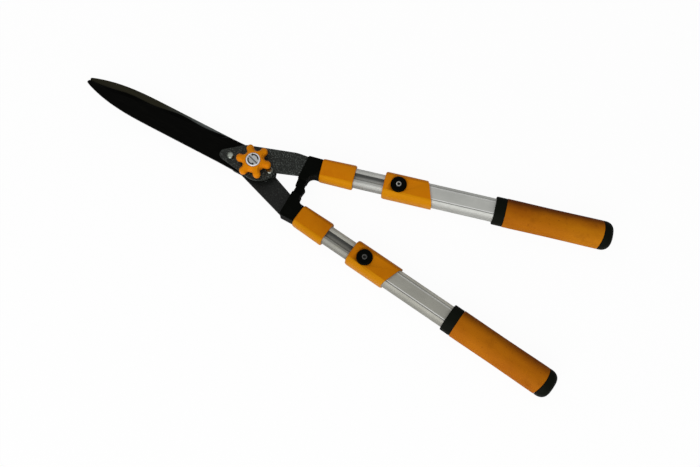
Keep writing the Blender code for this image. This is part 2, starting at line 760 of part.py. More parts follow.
def inner_tube(side, parent):
    start = NECK_LENGTH + GAP
    end = inner_tube_end()
    item = piece(SIDE_NAME[side] + "_inner_tube", run(channelled_outline(), start, end),
                 ALUMINIUM, parent)
    cut(item, run(inner_bore(), start - RUN_OUT, end + RUN_OUT), "bore")
    cut(item, prism(keyhole_strip(), 0.0, INNER_HEIGHT), "keyholes")
    return item


def tube_guide(side, parent):
    """Plug on the inner tube's end that runs in the outer tube."""
    start = inner_tube_end() + GAP
    body = run(outer_bore(GAP), start, start + GUIDE_LENGTH)
    item = piece(SIDE_NAME[side] + "_tube_guide", body, BLACK_PLASTIC, parent)
    join(item, run(inner_bore(GAP), start - GUIDE_SPIGOT, start + GUIDE_LENGTH / 2), "spigot")
    return item


# Sliding handles

def ridged_outline():
    """Outer tube's section, with a ridge and groove along each edge of its flats."""
    points = outer_outline()
    grooved = []
    quarter = len(points) // 2
    for index, (y, z) in enumerate(points):
        grooved.append((y, z))
        if index % quarter in (0, quarter - 1):
            inward = -math.copysign(1.0, y)
            step = (y + inward * RIDGE_WIDTH, z - math.copysign(RIDGE_DEPTH, z))
            flat = (y + inward * 2 * RIDGE_WIDTH, z)
            if index % quarter == 0:
                grooved[-1:] = [flat, step, (y, z)]
            else:
                grooved += [step, flat]
    return grooved


def outer_tube(side, parent):
    end = cap_seam() - SEAM_BOW - GAP
    item = piece(SIDE_NAME[side] + "_outer_tube", run(ridged_outline(), OUTER_TUBE_START, end),
                 ALUMINIUM, parent)
    cut(item, run(outer_bore(), OUTER_TUBE_START - RUN_OUT, end + RUN_OUT), "bore")
    return item


def sleeve_trim(side):
    """Cutter behind the slanted rear end; the inner side is longer, the outer corner round."""
    half = SLEEVE_WIDTH / 2
    lean = half * math.tan(SLEEVE_SLANT)
    wide, far = 2 * half, SLEEVE_LENGTH + SLEEVE_WIDTH
    outer_lean = lean + SLEEVE_REAR_CORNER
    slant = arc((SLEEVE_LENGTH - outer_lean, half - SLEEVE_REAR_CORNER), SLEEVE_REAR_CORNER,
                math.radians(90), SLEEVE_SLANT, CORNER_STEPS)
    inner = (SLEEVE_LENGTH + wide * math.tan(SLEEVE_SLANT), -wide)
    corner = SLEEVE_LENGTH - outer_lean - SLEEVE_REAR_CORNER / 4
    outline = [(far, wide), (corner, wide), (corner, half + GAP / 10)] + slant
    outline += [inner, (far, -wide)]
    return prism([(x, side * y) for x, y in outline], -SLEEVE_HEIGHT, SLEEVE_HEIGHT)


def lock_sleeve(side, parent):
    def section(shrink):
        return flat_oval(SLEEVE_WIDTH - 2 * shrink, SLEEVE_HEIGHT - 1.4 * shrink,
                         SLEEVE_FLAT - 2 * shrink)

    rings = [at(SLEEVE_CORNER * place, section(SLEEVE_CORNER * shrink))
             for place, shrink in SLEEVE_NOSE]
    rings.append(at(SLEEVE_LENGTH + SLEEVE_WIDTH / 2, section(0.0)))
    item = piece(SIDE_NAME[side] + "_lock_sleeve", skin(rings), ORANGE_PLASTIC, parent,
                 location=(SLEEVE_START, 0, 0))
    cut(item, sleeve_trim(side), "rear_trim")
    tube_start = OUTER_TUBE_START - SLEEVE_START
    cut(item, run(outer_bore(), -RUN_OUT, tube_start + RUN_OUT / 2), "inner_tube_bore")
    end = SLEEVE_LENGTH + SLEEVE_WIDTH
    cut(item, run(outer_outline(GAP), tube_start - GAP, end), "outer_tube_bore")
    floor = pocket_floor()
    spot = (LOCK_FROM_SLEEVE, 0, 0)
    cut(item, disc_tool(BUTTON_RADIUS + GAP, floor, SLEEVE_HEIGHT), "button_pocket", location=spot)
    cut(item, disc_tool(COLLAR_RADIUS + GAP, 0.0, floor + RUN_OUT), "pin_hole", location=spot)
    return item


def seam_trim(offset, ahead):
    """Cutter on one side of the seam between grip and cap, which bows out in the middle."""
    wide = GRIP_WIDTH / 2 + RUN_OUT
    bowed = [(cap_seam() + offset - SEAM_BOW * (y / (GRIP_WIDTH / 2)) ** 2, y)
             for y in spread(-wide, wide, 2 * CORNER_STEPS)]
    far = cap_seam() + (CAP_LENGTH if ahead else -CAP_LENGTH)
    return prism(bowed + [(far, wide), (far, -wide)], -GRIP_HEIGHT, GRIP_HEIGHT)


def collar(side, parent):
    def ring(x, shrink):
        shrink += GAP
        return at(x, soft_oval(GRIP_WIDTH - 2 * shrink, GRIP_HEIGHT - 2 * shrink))

    lip = SMALL_CHAMFER
    rings = [ring(0.0, 2 * lip), ring(lip / 2, lip * 0.75), ring(2 * lip, 0.0),
             ring(COLLAR_LENGTH - GAP, 0.0)]
    item = piece(SIDE_NAME[side] + "_grip_collar", skin(rings), BLACK_PLASTIC, parent,
                 location=(COLLAR_START, 0, 0))
    cut(item, run(outer_outline(GAP), -RUN_OUT, COLLAR_LENGTH + RUN_OUT), "bore")
    return item


def grip(side, parent):
    start = COLLAR_START + COLLAR_LENGTH
    full = soft_oval(GRIP_WIDTH, GRIP_HEIGHT)
    edge = soft_oval(GRIP_WIDTH - SMALL_CHAMFER, GRIP_HEIGHT - SMALL_CHAMFER)
    rings = [at(start, edge), at(start + SMALL_CHAMFER, full), at(cap_seam() + RUN_OUT, full)]
    item = piece(SIDE_NAME[side] + "_grip", skin(rings), ORANGE_PLASTIC, parent)
    cut(item, seam_trim(0.0, True), "seam_trim")
    cut(item, run(outer_outline(GAP), start - RUN_OUT, cap_seam() + RUN_OUT), "bore")
    return item


def end_cap(side, parent):
    """Domed cap; its plug fills the outer tube's end."""
    start = cap_seam() + GAP
    rings = [at(start - SEAM_BOW - RUN_OUT, soft_oval(GRIP_WIDTH, GRIP_HEIGHT))]
    for angle in spread(*CAP_ARC, CORNER_STEPS):
        size = math.cos(angle) ** CAP_FULLNESS
        rings.append(at(start + CAP_LENGTH * math.sin(angle),
                        soft_oval(GRIP_WIDTH * size, GRIP_HEIGHT * size)))
    item = piece(SIDE_NAME[side] + "_end_cap", skin(rings), BLACK_PLASTIC, parent)
    cut(item, seam_trim(GAP, False), "seam_trim")
    join(item, run(outer_bore(GAP), cap_plug_start(), start + CAP_LENGTH / 3), "plug")
    return item


# Lock button, pin, screw and spring

def pocket_floor():
    """Height of the pocket's floor above the handle's axis."""
    return INNER_HEIGHT / 2 + SLIDE_CLEAR + POCKET_FLOOR


def button_base():
    return pocket_floor() + GAP


def button_top():
    return SLEEVE_HEIGHT / 2 + BUTTON_PROUD


def lock_button(side, parent):
    """Round button with a raised rim, a recess for the spring and a bored boss."""
    base, top = button_base(), button_top()
    seat = top - SCREW_HEAD_HEIGHT - GAP
    recess = base + RECESS_DEPTH
    outer = SPRING_RADIUS + SPRING_WIRE / 2 + GAP
    bore = PIN_TOP_RADIUS + GAP
    pin_top = base + PIN_TOP_HEIGHT + GAP
    rim = BUTTON_RADIUS - BUTTON_CHAMFER
    dish = top - BUTTON_DISH
    profile = [
        (bore, base), (BOSS_RADIUS, base), (BOSS_RADIUS, recess), (outer, recess), (outer, base),
        (BUTTON_RADIUS, base), (BUTTON_RADIUS, top - BUTTON_CHAMFER),
        (BUTTON_RADIUS - BUTTON_CHAMFER / 3, top - BUTTON_CHAMFER / 3), (rim, top),
        (rim - BUTTON_RIM, top), (rim - BUTTON_RIM - BUTTON_DISH, dish),
        (SCREW_HEAD_RADIUS + GAP, dish), (SCREW_HEAD_RADIUS + GAP, seat),
        (SCREW_RADIUS + GAP, seat), (SCREW_RADIUS + GAP, pin_top), (bore, pin_top)]
    return piece(SIDE_NAME[side] + "_lock_button", turned(profile, closed=True),
                 BLACK_PLASTIC, parent)


def lock_pin(side, parent):
    """Stepped pin: its collar locks in a keyhole, its neck slides in the slot."""
    base = button_base()
    roof = INNER_HEIGHT / 2 - CHANNEL_DEPTH - INNER_WALL
    collar_top = roof - COLLAR_DROP
    collar_base = collar_top - COLLAR_THICK
    top = base + PIN_TOP_HEIGHT
    bore = SCREW_RADIUS + GAP
    profile = [(0.0, collar_base), (COLLAR_RADIUS - FINE_CHAMFER, collar_base),
               (COLLAR_RADIUS, collar_base + FINE_CHAMFER), (COLLAR_RADIUS, collar_top),
               (PIN_NECK_RADIUS, collar_top), (PIN_NECK_RADIUS, base), (PIN_TOP_RADIUS, base),
               (PIN_TOP_RADIUS, top), (bore, top), (bore, pin_bore_floor()), (0.0, pin_bore_floor())]
    return piece(SIDE_NAME[side] + "_lock_pin", turned(profile, RIVET_STEPS), BRIGHT_STEEL,
                 parent)


def pin_bore_floor():
    return button_base() + PIN_TOP_HEIGHT / 4


def button_screw(side, parent):
    """Socket screw that holds the button on its pin."""
    top = button_top() - FINE_CHAMFER
    under = button_top() - SCREW_HEAD_HEIGHT
    tip = pin_bore_floor() + GAP
    profile = [(0.0, tip), (SCREW_RADIUS, tip), (SCREW_RADIUS, under), (SCREW_HEAD_RADIUS, under),
               (SCREW_HEAD_RADIUS, top - FINE_CHAMFER), (SCREW_HEAD_RADIUS - FINE_CHAMFER, top),
               (0.0, top)]
    item = piece(SIDE_NAME[side] + "_button_screw", turned(profile, SCREW_STEPS), BRIGHT_STEEL,
                 parent)
    socket = arc((0, 0), SOCKET_RADIUS, 0.0, math.tau * 5 / 6, 5)
    cut(item, prism(socket, top - SOCKET_DEPTH, top + RUN_OUT), "hex_socket")
    return item


def lock_spring(side, parent):
    """Compression spring between the pocket's floor and the button's recess."""
    curve = bpy.data.curves.new(SIDE_NAME[side] + "_lock_spring", "CURVE")
    curve.dimensions = "3D"
    curve.bevel_depth = SPRING_WIRE / 2
    curve.bevel_resolution = 1
    curve.use_fill_caps = True
    low = pocket_floor() + SPRING_WIRE / 2 + GAP / 2
    high = button_base() + RECESS_DEPTH - SPRING_WIRE / 2 - GAP
    steps = round(SPRING_TURNS * SPRING_STEPS)
    spline = curve.splines.new("POLY")
    spline.points.add(steps)
    for step in range(steps + 1):
        angle = math.tau * SPRING_TURNS * step / steps
        height = low + (high - low) * step / steps
        spline.points[step].co = (SPRING_RADIUS * math.cos(angle),
                                  SPRING_RADIUS * math.sin(angle), height, 1.0)
    curve.materials.append(finish_material(curve.name, BRIGHT_STEEL))
    item = bpy.data.objects.new(curve.name, curve)
    bpy.context.scene.collection.objects.link(item)
    item.parent = parent
    item.location = (SLEEVE_START + LOCK_FROM_SLEEVE, 0, 0)
    return item


# Pivot

def pivot_bolt(parent):
    """Flat head, square neck in the rear arm, round shank and thread."""
    neck_top = REAR_ARM_Z + ARM_THICK
    shank_top = KNOB_Z - 2 * GAP
    tip = shank_top + THREAD_LENGTH
    edge = SMALL_CHAMFER
    profile = [(0.0, 0.0), (BOLT_HEAD_RADIUS - edge, 0.0), (BOLT_HEAD_RADIUS, edge),
               (BOLT_HEAD_RADIUS, BOLT_HEAD_THICK), (SHANK_RADIUS, BOLT_HEAD_THICK),
               (SHANK_RADIUS, shank_top), (THREAD_RADIUS, shank_top + edge),
               (THREAD_RADIUS, tip - edge), (THREAD_RADIUS - edge, tip), (0.0, tip)]
    item = piece("pivot_bolt", turned(profile), BRIGHT_STEEL, parent)
    half = BOLT_NECK / 2
    square = [(-half, -half), (half, -half), (half, half), (-half, half)]
    join(item, prism(square, REAR_ARM_Z, neck_top), "square_neck")
    return item


def ring_profile(bore, radius, bottom, top, dish=0.0):
    """Closed washer profile; dish lifts its inner rim."""
    return [(bore, bottom + dish), (radius, bottom), (radius, top - dish), (bore, top)]


def disc_spring(parent):
    """Dished spring washer between the bolt head and the rear arm."""
    bottom = BOLT_HEAD_THICK + GAP
    profile = ring_profile(SHANK_RADIUS + GAP, DISC_SPRING_RADIUS, bottom,
                           bottom + DISC_SPRING_THICK, DISC_SPRING_DISH)
    return piece("disc_spring", turned(profile, closed=True), BRIGHT_STEEL, parent)


def thrust_washer(parent):
    profile = ring_profile(SHANK_RADIUS + GAP, THRUST_WASHER_RADIUS, THRUST_WASHER_Z,
                           THRUST_WASHER_Z + THRUST_WASHER_THICK)
    return piece("thrust_washer", turned(profile, closed=True), BRIGHT_STEEL, parent)


def star_outline():
    """Round lobes joined by valleys that are tangent to them."""
    reach = KNOB_REACH - LOBE_RADIUS
    half_pitch = math.pi / KNOB_LOBES
    near = reach * math.cos(half_pitch)
    valley = ((reach ** 2 + KNOB_VALLEY ** 2 - 2 * near * KNOB_VALLEY - LOBE_RADIUS ** 2)
              / (2 * (LOBE_RADIUS + near - KNOB_VALLEY)))
    lobe_centre = Vector((reach, 0.0))
    valley_centre = Vector((KNOB_VALLEY + valley, 0.0))
    valley_centre.rotate(Matrix.Rotation(half_pitch, 2))
    toward = valley_centre - lobe_centre
    meet = math.atan2(toward.y, toward.x)
    outline = []
    for lobe in range(KNOB_LOBES):
        sector = arc(lobe_centre, LOBE_RADIUS, -meet, meet, CORNER_STEPS)
        sector += arc(valley_centre, valley, meet - math.pi, 2 * half_pitch - meet - math.pi,
                      CORNER_STEPS - 2)[1:-1]
        heading = KNOB_TURN + 2 * half_pitch * lobe
        for x, y in sector:
            spot = Vector((x, y))
            spot.rotate(Matrix.Rotation(heading, 2))
            outline.append((spot.x, spot.y))
    return outline


def star_knob(parent):
    """Star grip with a raised hub that holds the insert."""
    low = KNOB_Z + LOBE_LIFT
    star = break_edges(prism(star_outline(), low, low + LOBE_THICK), LOBE_BEVEL, 2)
    item = piece("star_knob", star, ORANGE_PLASTIC, parent)
    top = KNOB_Z + HUB_HEIGHT
    edge = SMALL_CHAMFER
    hub = turned([(0.0, KNOB_Z), (HUB_RADIUS - edge, KNOB_Z), (HUB_RADIUS, KNOB_Z + edge),
                  (HUB_RADIUS, low + LOBE_THICK - edge),
                  (HUB_RADIUS - HUB_ROUND / 2, top - HUB_ROUND / 2),
                  (HUB_RADIUS - HUB_ROUND, top), (0.0, top)], KNOB_STEPS)
    join(item, hub, "hub")
    flange = INSERT_FLANGE + GAP
    bore = turned([(0.0, KNOB_Z - RUN_OUT), (INSERT_STEM_RADIUS + GAP, KNOB_Z - RUN_OUT),
                   (INSERT_STEM_RADIUS + GAP, top - flange), (INSERT_RADIUS + GAP, top - flange),
                   (INSERT_RADIUS + GAP, top + RUN_OUT), (0.0, top + RUN_OUT)], KNOB_STEPS)
    cut(item, bore, "insert_seat")
    return item


def knob_insert(parent):
    """Threaded insert; the slot in its face takes a coin."""
    top = KNOB_Z + HUB_HEIGHT
    blind = top - INSERT_CAP
    bore = THREAD_RADIUS + GAP
    mouth = SHANK_RADIUS + GAP
    edge = SMALL_CHAMFER
    profile = [(0.0, top), (INSERT_RADIUS - edge, top), (INSERT_RADIUS, top - edge),
               (INSERT_RADIUS, top - INSERT_FLANGE), (INSERT_STEM_RADIUS, top - INSERT_FLANGE),
               (INSERT_STEM_RADIUS, KNOB_Z + GAP), (mouth, KNOB_Z + GAP),
               (bore, KNOB_Z + GAP + mouth - bore), (bore, blind), (0.0, blind)]
    item = piece("knob_insert", turned(profile, KNOB_STEPS), BRIGHT_STEEL, parent)
    long_half, half = INSERT_RADIUS + RUN_OUT, SLOT_WIDTH / 2
    slot = [(-long_half, -half), (long_half, -half), (long_half, half), (-long_half, half)]
    cut(item, prism(slot, top - SLOT_DEPTH, top + RUN_OUT), "coin_slot", turn=SLOT_TURN)
    return item


def lever(side, carrier):
    """Arm, blade, rivets, bumper, ferrule and inner tube, which move as one."""
    arm(side, carrier)
    blade(side, BLADE_COAT if side == FRONT else REAR_BLADE_COAT, carrier)
    rivet(side, "nose", NOSE_RIVET, carrier)
    rivet(side, "heel", HEEL_RIVET, carrier)
    bumper(side, carrier)
    x, y = handle_point(side, 0.0, 0.0)
    fixed = frame(SIDE_NAME[side] + "_tube_frame", (x, y, HANDLE_Z), side * HANDLE_SPREAD, carrier)
    ferrule(side, fixed)
    inner_tube(side, fixed)
    tube_guide(side, fixed)
    return fixed


def handle(side, fixed):
    """Everything that slides on the inner tube, and the button that moves in it."""
    slider = frame(SIDE_NAME[side] + "_handle_frame", (0, 0, 0), 0.0, fixed)
    outer_tube(side, slider)
    lock_sleeve(side, slider)
    collar(side, slider)
    grip(side, slider)
    end_cap(side, slider)
    lock_spring(side, slider)
    button = frame(SIDE_NAME[side] + "_button_frame",
                   (SLEEVE_START + LOCK_FROM_SLEEVE, 0, 0), 0.0, slider)
    lock_button(side, button)
    lock_pin(side, button)
    button_screw(side, button)


def main():
    clear_scene()
    root = frame("rear_lever_frame", (0, 0, 0))
    turning = frame("front_lever_frame", (0, 0, 0), 0.0, root)
    for side, carrier in ((REAR, root), (FRONT, turning)):
        handle(side, lever(side, carrier))
    pivot_bolt(root)
    disc_spring(root)
    thrust_washer(root)
    knob = frame("tension_knob_frame", (0, 0, 0), 0.0, root)
    star_knob(knob)
    knob_insert(knob)


main()
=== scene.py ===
"""Telescopic hedge shears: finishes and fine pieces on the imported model.

Metres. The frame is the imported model's: the origin is under the pivot bolt's head, -X runs
towards the blade tips, +X towards the grips, and the shears lie flat on z = 0.
"""
import json
import math

import bmesh
import bpy
from bpy.props import FloatProperty, FloatVectorProperty, PointerProperty
from bpy.types import Operator, Panel, PropertyGroup
from mathutils import Matrix, Vector


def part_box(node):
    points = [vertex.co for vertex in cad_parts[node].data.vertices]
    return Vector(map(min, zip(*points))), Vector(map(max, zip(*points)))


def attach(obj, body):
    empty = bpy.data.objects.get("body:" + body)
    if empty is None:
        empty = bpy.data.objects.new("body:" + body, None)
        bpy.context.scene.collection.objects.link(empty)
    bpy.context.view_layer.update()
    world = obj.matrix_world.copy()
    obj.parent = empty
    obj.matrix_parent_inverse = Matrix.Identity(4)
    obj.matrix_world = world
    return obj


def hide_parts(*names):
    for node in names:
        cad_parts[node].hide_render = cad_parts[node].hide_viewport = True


bl_info = {
    "name": "Hedge shears finishes",
    "version": (1, 0, 0),
    "blender": (4, 5, 0),
    "location": "3D View > Sidebar > Shears",
    "description": "Finishes and fine pieces of telescopic hedge shears",
    "category": "Object",
}

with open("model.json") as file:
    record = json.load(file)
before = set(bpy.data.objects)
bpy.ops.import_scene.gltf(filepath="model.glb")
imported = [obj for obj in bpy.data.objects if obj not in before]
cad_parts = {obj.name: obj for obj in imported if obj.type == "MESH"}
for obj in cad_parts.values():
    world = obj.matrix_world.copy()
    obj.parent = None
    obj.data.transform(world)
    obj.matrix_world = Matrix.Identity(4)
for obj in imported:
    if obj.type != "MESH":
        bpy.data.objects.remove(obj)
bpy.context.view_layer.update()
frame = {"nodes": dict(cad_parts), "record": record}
RECORD = frame["record"]
NODES = frame["nodes"]
BODY_OF = {node: body for body, nodes in RECORD["behaviour"]["bodies"].items() for node in nodes}

FRONT = 1
REAR = -1
SIDES = ((FRONT, "front"), (REAR, "rear"))

# How the two handles differ: shares of the colours, which paint the front handle's parts lighter
# and the rear's darker as painted light and shade; the tubes' tint; tones of a tube's near flank,
# top and far side, which are painted light and shade; painted shade at its near edge; and the reach
# and share of the grip's darker far side, partly grime and partly painted shade
LOOKS = {
    FRONT: {"plastic": 1.10, "arm": 1.0, "screw": 0.72, "tint": (0.99, 1.0, 0.99),
            "outer": (0.96, 0.85, 0.85), "inner": (0.68, 0.66, 0.90), "shade": 0.42,
            "grime_and_shade": (0.024, 0.92)},
    REAR: {"plastic": 0.92, "arm": 0.34, "screw": 0.16, "tint": (1.0, 0.985, 0.91),
           "outer": (0.56, 0.55, 0.90), "inner": (0.50, 0.37, 0.76), "shade": 0.34,
           "grime_and_shade": (0.026, 0.62)},
}

# Handles' line and the places along it, as the part has them
HANDLE_START = Vector((0.0800, 0.0332))
HANDLE_MID_Y = -0.0042
HANDLE_SPREAD = math.radians(10.73)
HANDLE_Z = 0.0160
SLEEVE_START = 0.0813
BUTTON_PLACE = SLEEVE_START + 0.0186
COLLAR_START = 0.2226
COLLAR_LENGTH = 0.0137
GRIP_LENGTH = 0.1230
CAP_LENGTH = 0.0122
SEAM_BOW = 0.0030        # how far the seam's ends lie before its middle
SEAM_HALF = 0.0179       # half of the seam's width
SEAM = COLLAR_START + COLLAR_LENGTH + GRIP_LENGTH
GAP = 0.0003             # between pieces that are fixed to each other

# Blades: X of the places, and a tip's two corners, the blunter one first
BLADE_SKEW = math.radians(4.0)
REAR_HEEL = (-0.150, -0.085)    # over which the rear blade grows paler towards the pivot
TIP_START = -0.2460             # the tips lie beyond this
TIP_ROUND = (0.0012, 0.0029)    # radius at either corner
TIP_ANGLES = (0.4, 1.2, 3.2)    # limits of the angle between the faces at either corner

# Half widths of the inner tube and its channel, and places across a tube, from its middle
CHANNEL_HALF = 0.0046
INNER_HALF = 0.0125
TUBE_FLANK = 0.0056      # a tube's side, from its flat top outwards
TONE_EDGE = 0.0006       # over which one tone of a tube turns into the next
GROOVE_SHADE = (0.0082, 0.0086, 0.0090, 0.0094)   # painted shade: dark line along the groove of the outer tube
CREST_HIGHLIGHT = (0.0066, 0.0070, 0.0078, 0.0082)    # painted highlight: bright line on the crest beside it

# Outer tube's section, which collar and grip close round, and the grip
TUBE_WIDTH = 0.0295
TUBE_HEIGHT = 0.0219
TUBE_FLAT = 0.0176
GRIP_POWER = 2.4         # 2 makes a grip's section an ellipse, more makes it squarer
NEAR_GRIP_HIGHLIGHT = (0.362, 0.412)    # X over which the front grip grows paler on its near side, a painted highlight

# Knob: underside, lobes' turn and the outline of a lobe and of a valley
KNOB_Z = 0.0252
KNOB_TOP = KNOB_Z + 0.0125
KNOB_TURN = math.radians(8.7)
KNOB_LOBES = 6
LOBE_CENTRE = 0.0178
LOBE_RADIUS = 0.0048
KNOB_VALLEY = 0.0138
LOBE_LOW = KNOB_Z + 0.0018
INSERT_RADIUS = 0.0092
INSERT_STEM = 0.0065
INSERT_FLANGE = 0.0022
DISC_RIM = (0.0073, 0.0078)   # radius over which the disc's face turns into its bright rim
SLOT_TURN = math.radians(-20)
MARK_ARCS = ((20.0, 98.0), (184.0, 104.0))   # start and length in degrees
MARK_HEAD = ((3.0, 2.4), (17.0, 0.0))        # degrees onwards, and times the mark's width there

# Lock button, from the sleeve's top and the pocket's floor
BUTTON_TOP = HANDLE_Z + 0.01375 + 0.0035
BUTTON_BASE = HANDLE_Z + 0.0087 + 0.00045 + 0.0010 + GAP
SCREW_HEAD = 0.0035
SCREW_HEAD_HEIGHT = 0.0016
SCREW_SHANK = 0.0013
SCREW_TOP = BUTTON_TOP - GAP

# Rivets: head radius and height, shank and countersunk tail
RIVET_HEAD = (0.0048, 0.0026)
RIVET_SHANK = 0.0030
RIVET_TAIL = (0.0042, 0.0012)


def srgb(red, green, blue):
    """A colour picked on screen, from 0 to 255, as the linear values that shaders use."""
    linear = []
    for value in (red, green, blue):
        part = value / 255
        linear.append(part / 12.92 if part <= 0.04045 else ((part + 0.055) / 1.055) ** 2.4)
    return tuple(linear)


def colour_property(name, text, default):
    return FloatVectorProperty(name=name, description=text, default=default, subtype="COLOR",
                               size=3, min=0.0, max=1.0)


def length_property(name, text, default):
    return FloatProperty(name=name, description=text, default=default, min=0.0,
                         subtype="DISTANCE", unit="LENGTH")


class ShearsColours(PropertyGroup):
    """Colours of the finishes."""
    orange: colour_property("Orange", "Moulded ferrules, sleeves and knob", srgb(193, 114, 6))
    grip: colour_property("Grip", "Soft grips", srgb(168, 97, 4))
    # Grime on the grips, also used for painted shade on their far side
    grime_and_shade: colour_property("Grime", "Dirt rubbed into the grips", srgb(84, 34, 1))
    black: colour_property("Black plastic", "Bumpers, collars, caps and buttons", srgb(5, 6, 4))
    blade: colour_property("Blade coat", "Non-stick coat of the front blade", srgb(2, 2, 1))
    rear_blade: colour_property("Rear blade coat", "Coat of the rear blade", srgb(39, 37, 26))
    rear_heel: colour_property("Rear blade heel", "Rear blade by the pivot", srgb(84, 88, 86))
    arm: colour_property("Arm coat", "Hammered coat of the arm plates", srgb(34, 38, 33))
    arm_fleck: colour_property("Arm flecks", "Light flecks in the arm coat", srgb(112, 118, 113))
    aluminium: colour_property("Aluminium", "Drawn tubes", srgb(208, 208, 203))
    steel: colour_property("Steel", "Rivets, screws and washers", srgb(200, 199, 192))
    disc: colour_property("Knob disc", "Face of the knob's insert", srgb(176, 177, 176))
    # Darker than the other steel, to stand in for the dark reflection on the rivet heads: painted
    # reflection
    rivet: colour_property("Rivets", "Heads of the blade rivets", srgb(116, 121, 114))
    mark: colour_property("Marks", "Turning marks on the knob's disc", srgb(12, 12, 11))


class ShearsSizes(PropertyGroup):
    """Sizes of the fine pieces."""
    grip_width: length_property("Grip width", "Across a grip", 0.0358)
    grip_height: length_property("Grip height", "Through a grip", 0.0320)
    grip_waist: length_property("Grip waist", "How far a grip draws in along its middle", 0.0003)
    seam_round: length_property("Seam round", "Rounding of the edges at a seam", 0.0006)
    button_radius: length_property("Button radius", "Lock button", 0.0100)
    button_dish: length_property("Button dish", "Depth of the button's face", 0.0003)
    socket_width: length_property("Socket width", "Across the flats of the screw's socket", 0.0036)
    rivet_flat: length_property("Rivet flat", "Radius of the flat that the hammer left", 0.0033)
    mark_radius: length_property("Mark radius", "Middle line of the turning marks", 0.0062)
    mark_width: length_property("Mark width", "Width of the turning marks", 0.0017)
    mark_height: length_property("Mark height", "Turning marks above the disc", 0.00006)


class ShearsStage(PropertyGroup):
    """Camera, light and floor."""
    camera_place: FloatVectorProperty(name="Camera place", description="Where the camera stands",
                                      default=(0.2901, -0.3437, 1.1373), size=3,
                                      subtype="TRANSLATION", unit="LENGTH")
    camera_azimuth: FloatProperty(name="Azimuth", description="Camera's turn about Z",
                                  default=math.radians(24.54), subtype="ANGLE", unit="ROTATION")
    camera_elevation: FloatProperty(name="Elevation", description="Camera above the horizon",
                                    default=math.radians(73.0), subtype="ANGLE", unit="ROTATION")
    lens: FloatProperty(name="Lens", description="Focal length", default=48.55, unit="CAMERA")
    key_power: FloatProperty(name="Key light", description="Power of the soft key light",
                             default=35.0, unit="POWER")
    fill_power: FloatProperty(name="Fill light", description="Power of the fill light",
                              default=4.0, unit="POWER")
    sky: FloatProperty(name="Sky", description="Strength of the surroundings", default=0.41,
                       min=0.0, max=1.0, subtype="FACTOR")
    floor_glow: FloatProperty(name="Floor glow", description="Share of white in the floor",
                              default=0.955, min=0.0, max=1.0, subtype="FACTOR")


# Shader building

def feed(node, inputs):
    """Set inputs, given by name or number, or link them to other sockets."""
    for key, value in inputs.items():
        socket = node.inputs[key]
        if isinstance(value, bpy.types.NodeSocket):
            node.id_data.links.new(value, socket)
        elif socket.type == "RGBA":
            socket.default_value = (*value[:3], 1.0)
        else:
            socket.default_value = value


def build(kind, inputs, tree=None, **settings):
    """A node in a given tree, or in the tree of a socket that feeds it."""
    if tree is None:
        tree = next(value.id_data for value in inputs.values()
                    if isinstance(value, bpy.types.NodeSocket))
    node = tree.nodes.new(kind)
    for key, value in settings.items():
        setattr(node, key, value)
    feed(node, inputs)
    return node


def maths(operation, first, second=0.0, clamp=False):
    return build("ShaderNodeMath", {0: first, 1: second}, operation=operation,
                 use_clamp=clamp).outputs[0]


def times(first, second):
    return maths("MULTIPLY", first, second)


def mix(factor, first, second):
    return build("ShaderNodeMix", {0: factor, 6: first, 7: second}, data_type="RGBA").outputs[2]


def ramp(value, start, end, low=0.0, high=1.0):
    """Map a value from start..end to low..high with soft ends."""
    return build("ShaderNodeMapRange", {"Value": value, "From Min": start, "From Max": end,
                                        "To Min": low, "To Max": high},
                 interpolation_type="SMOOTHSTEP", clamp=True).outputs["Result"]


def band(value, start, full, fade, end):
    """1 from full to fade, and 0 before start and past end."""
    return times(ramp(value, start, full), ramp(value, end, fade))


def noise(vector, scale, detail, roughness):
    return build("ShaderNodeTexNoise", {"Vector": vector, "Scale": scale, "Detail": detail,
                                        "Roughness": roughness}).outputs["Fac"]


def turned(vector, angle):
    """Coordinates turned about Z."""
    return build("ShaderNodeMapping", {"Vector": vector, "Rotation": (0.0, 0.0, angle)}).outputs[0]


def squeezed(vector, share):
    """Coordinates squeezed along X, for drawn lines."""
    return build("ShaderNodeMapping", {"Vector": vector, "Scale": (share, 1.0, 1.0)}).outputs[0]


def component(vector, axis):
    return build("ShaderNodeSeparateXYZ", {"Vector": vector}).outputs[axis]


def new_group(name, result, values):
    """A shader node group: a vector and values in, one value out."""
    tree = bpy.data.node_groups.new(name, "ShaderNodeTree")
    tree.interface.new_socket("Vector", in_out="INPUT", socket_type="NodeSocketVector")
    for label, value in values.items():
        tree.interface.new_socket(label, in_out="INPUT",
                                  socket_type="NodeSocketFloat").default_value = value
    tree.interface.new_socket(result, in_out="OUTPUT", socket_type="NodeSocketFloat")
    return tree, tree.nodes.new("NodeGroupInput").outputs, tree.nodes.new("NodeGroupOutput")


def build_wear_group():
    """Mask of rubbed edges: where a rounded normal differs from the true one."""
    tree, given, result = new_group("Rubbed edges", "Mask", {"Radius": 0.0006, "Amount": 0.5})
    bevel = build("ShaderNodeBevel", {"Radius": given["Radius"]}, samples=6)
    geometry = build("ShaderNodeNewGeometry", {}, tree)
    dot = build("ShaderNodeVectorMath", {0: bevel.outputs["Normal"], 1: geometry.outputs["Normal"]},
                operation="DOT_PRODUCT")
    edge = ramp(maths("SUBTRACT", 1.0, dot.outputs["Value"]), 0.07, 0.26)
    patches = ramp(noise(given["Vector"], 180.0, 4.0, 0.65), 0.42, 0.62)
    feed(result, {"Mask": times(times(edge, patches), given["Amount"])})
    return tree


def build_dust_group():
    """Broad smudges and small specks of dirt."""
    tree, given, result = new_group("Smudges and specks", "Mask", {"Broad": 0.4, "Specks": 0.4})
    broad = ramp(noise(given["Vector"], 42.0, 5.0, 0.6), 0.50, 0.78)
    fine = ramp(noise(given["Vector"], 310.0, 3.0, 0.55), 0.63, 0.74)
    mask = maths("ADD", times(broad, given["Broad"]), times(fine, given["Specks"]), clamp=True)
    feed(result, {"Mask": mask})
    return tree


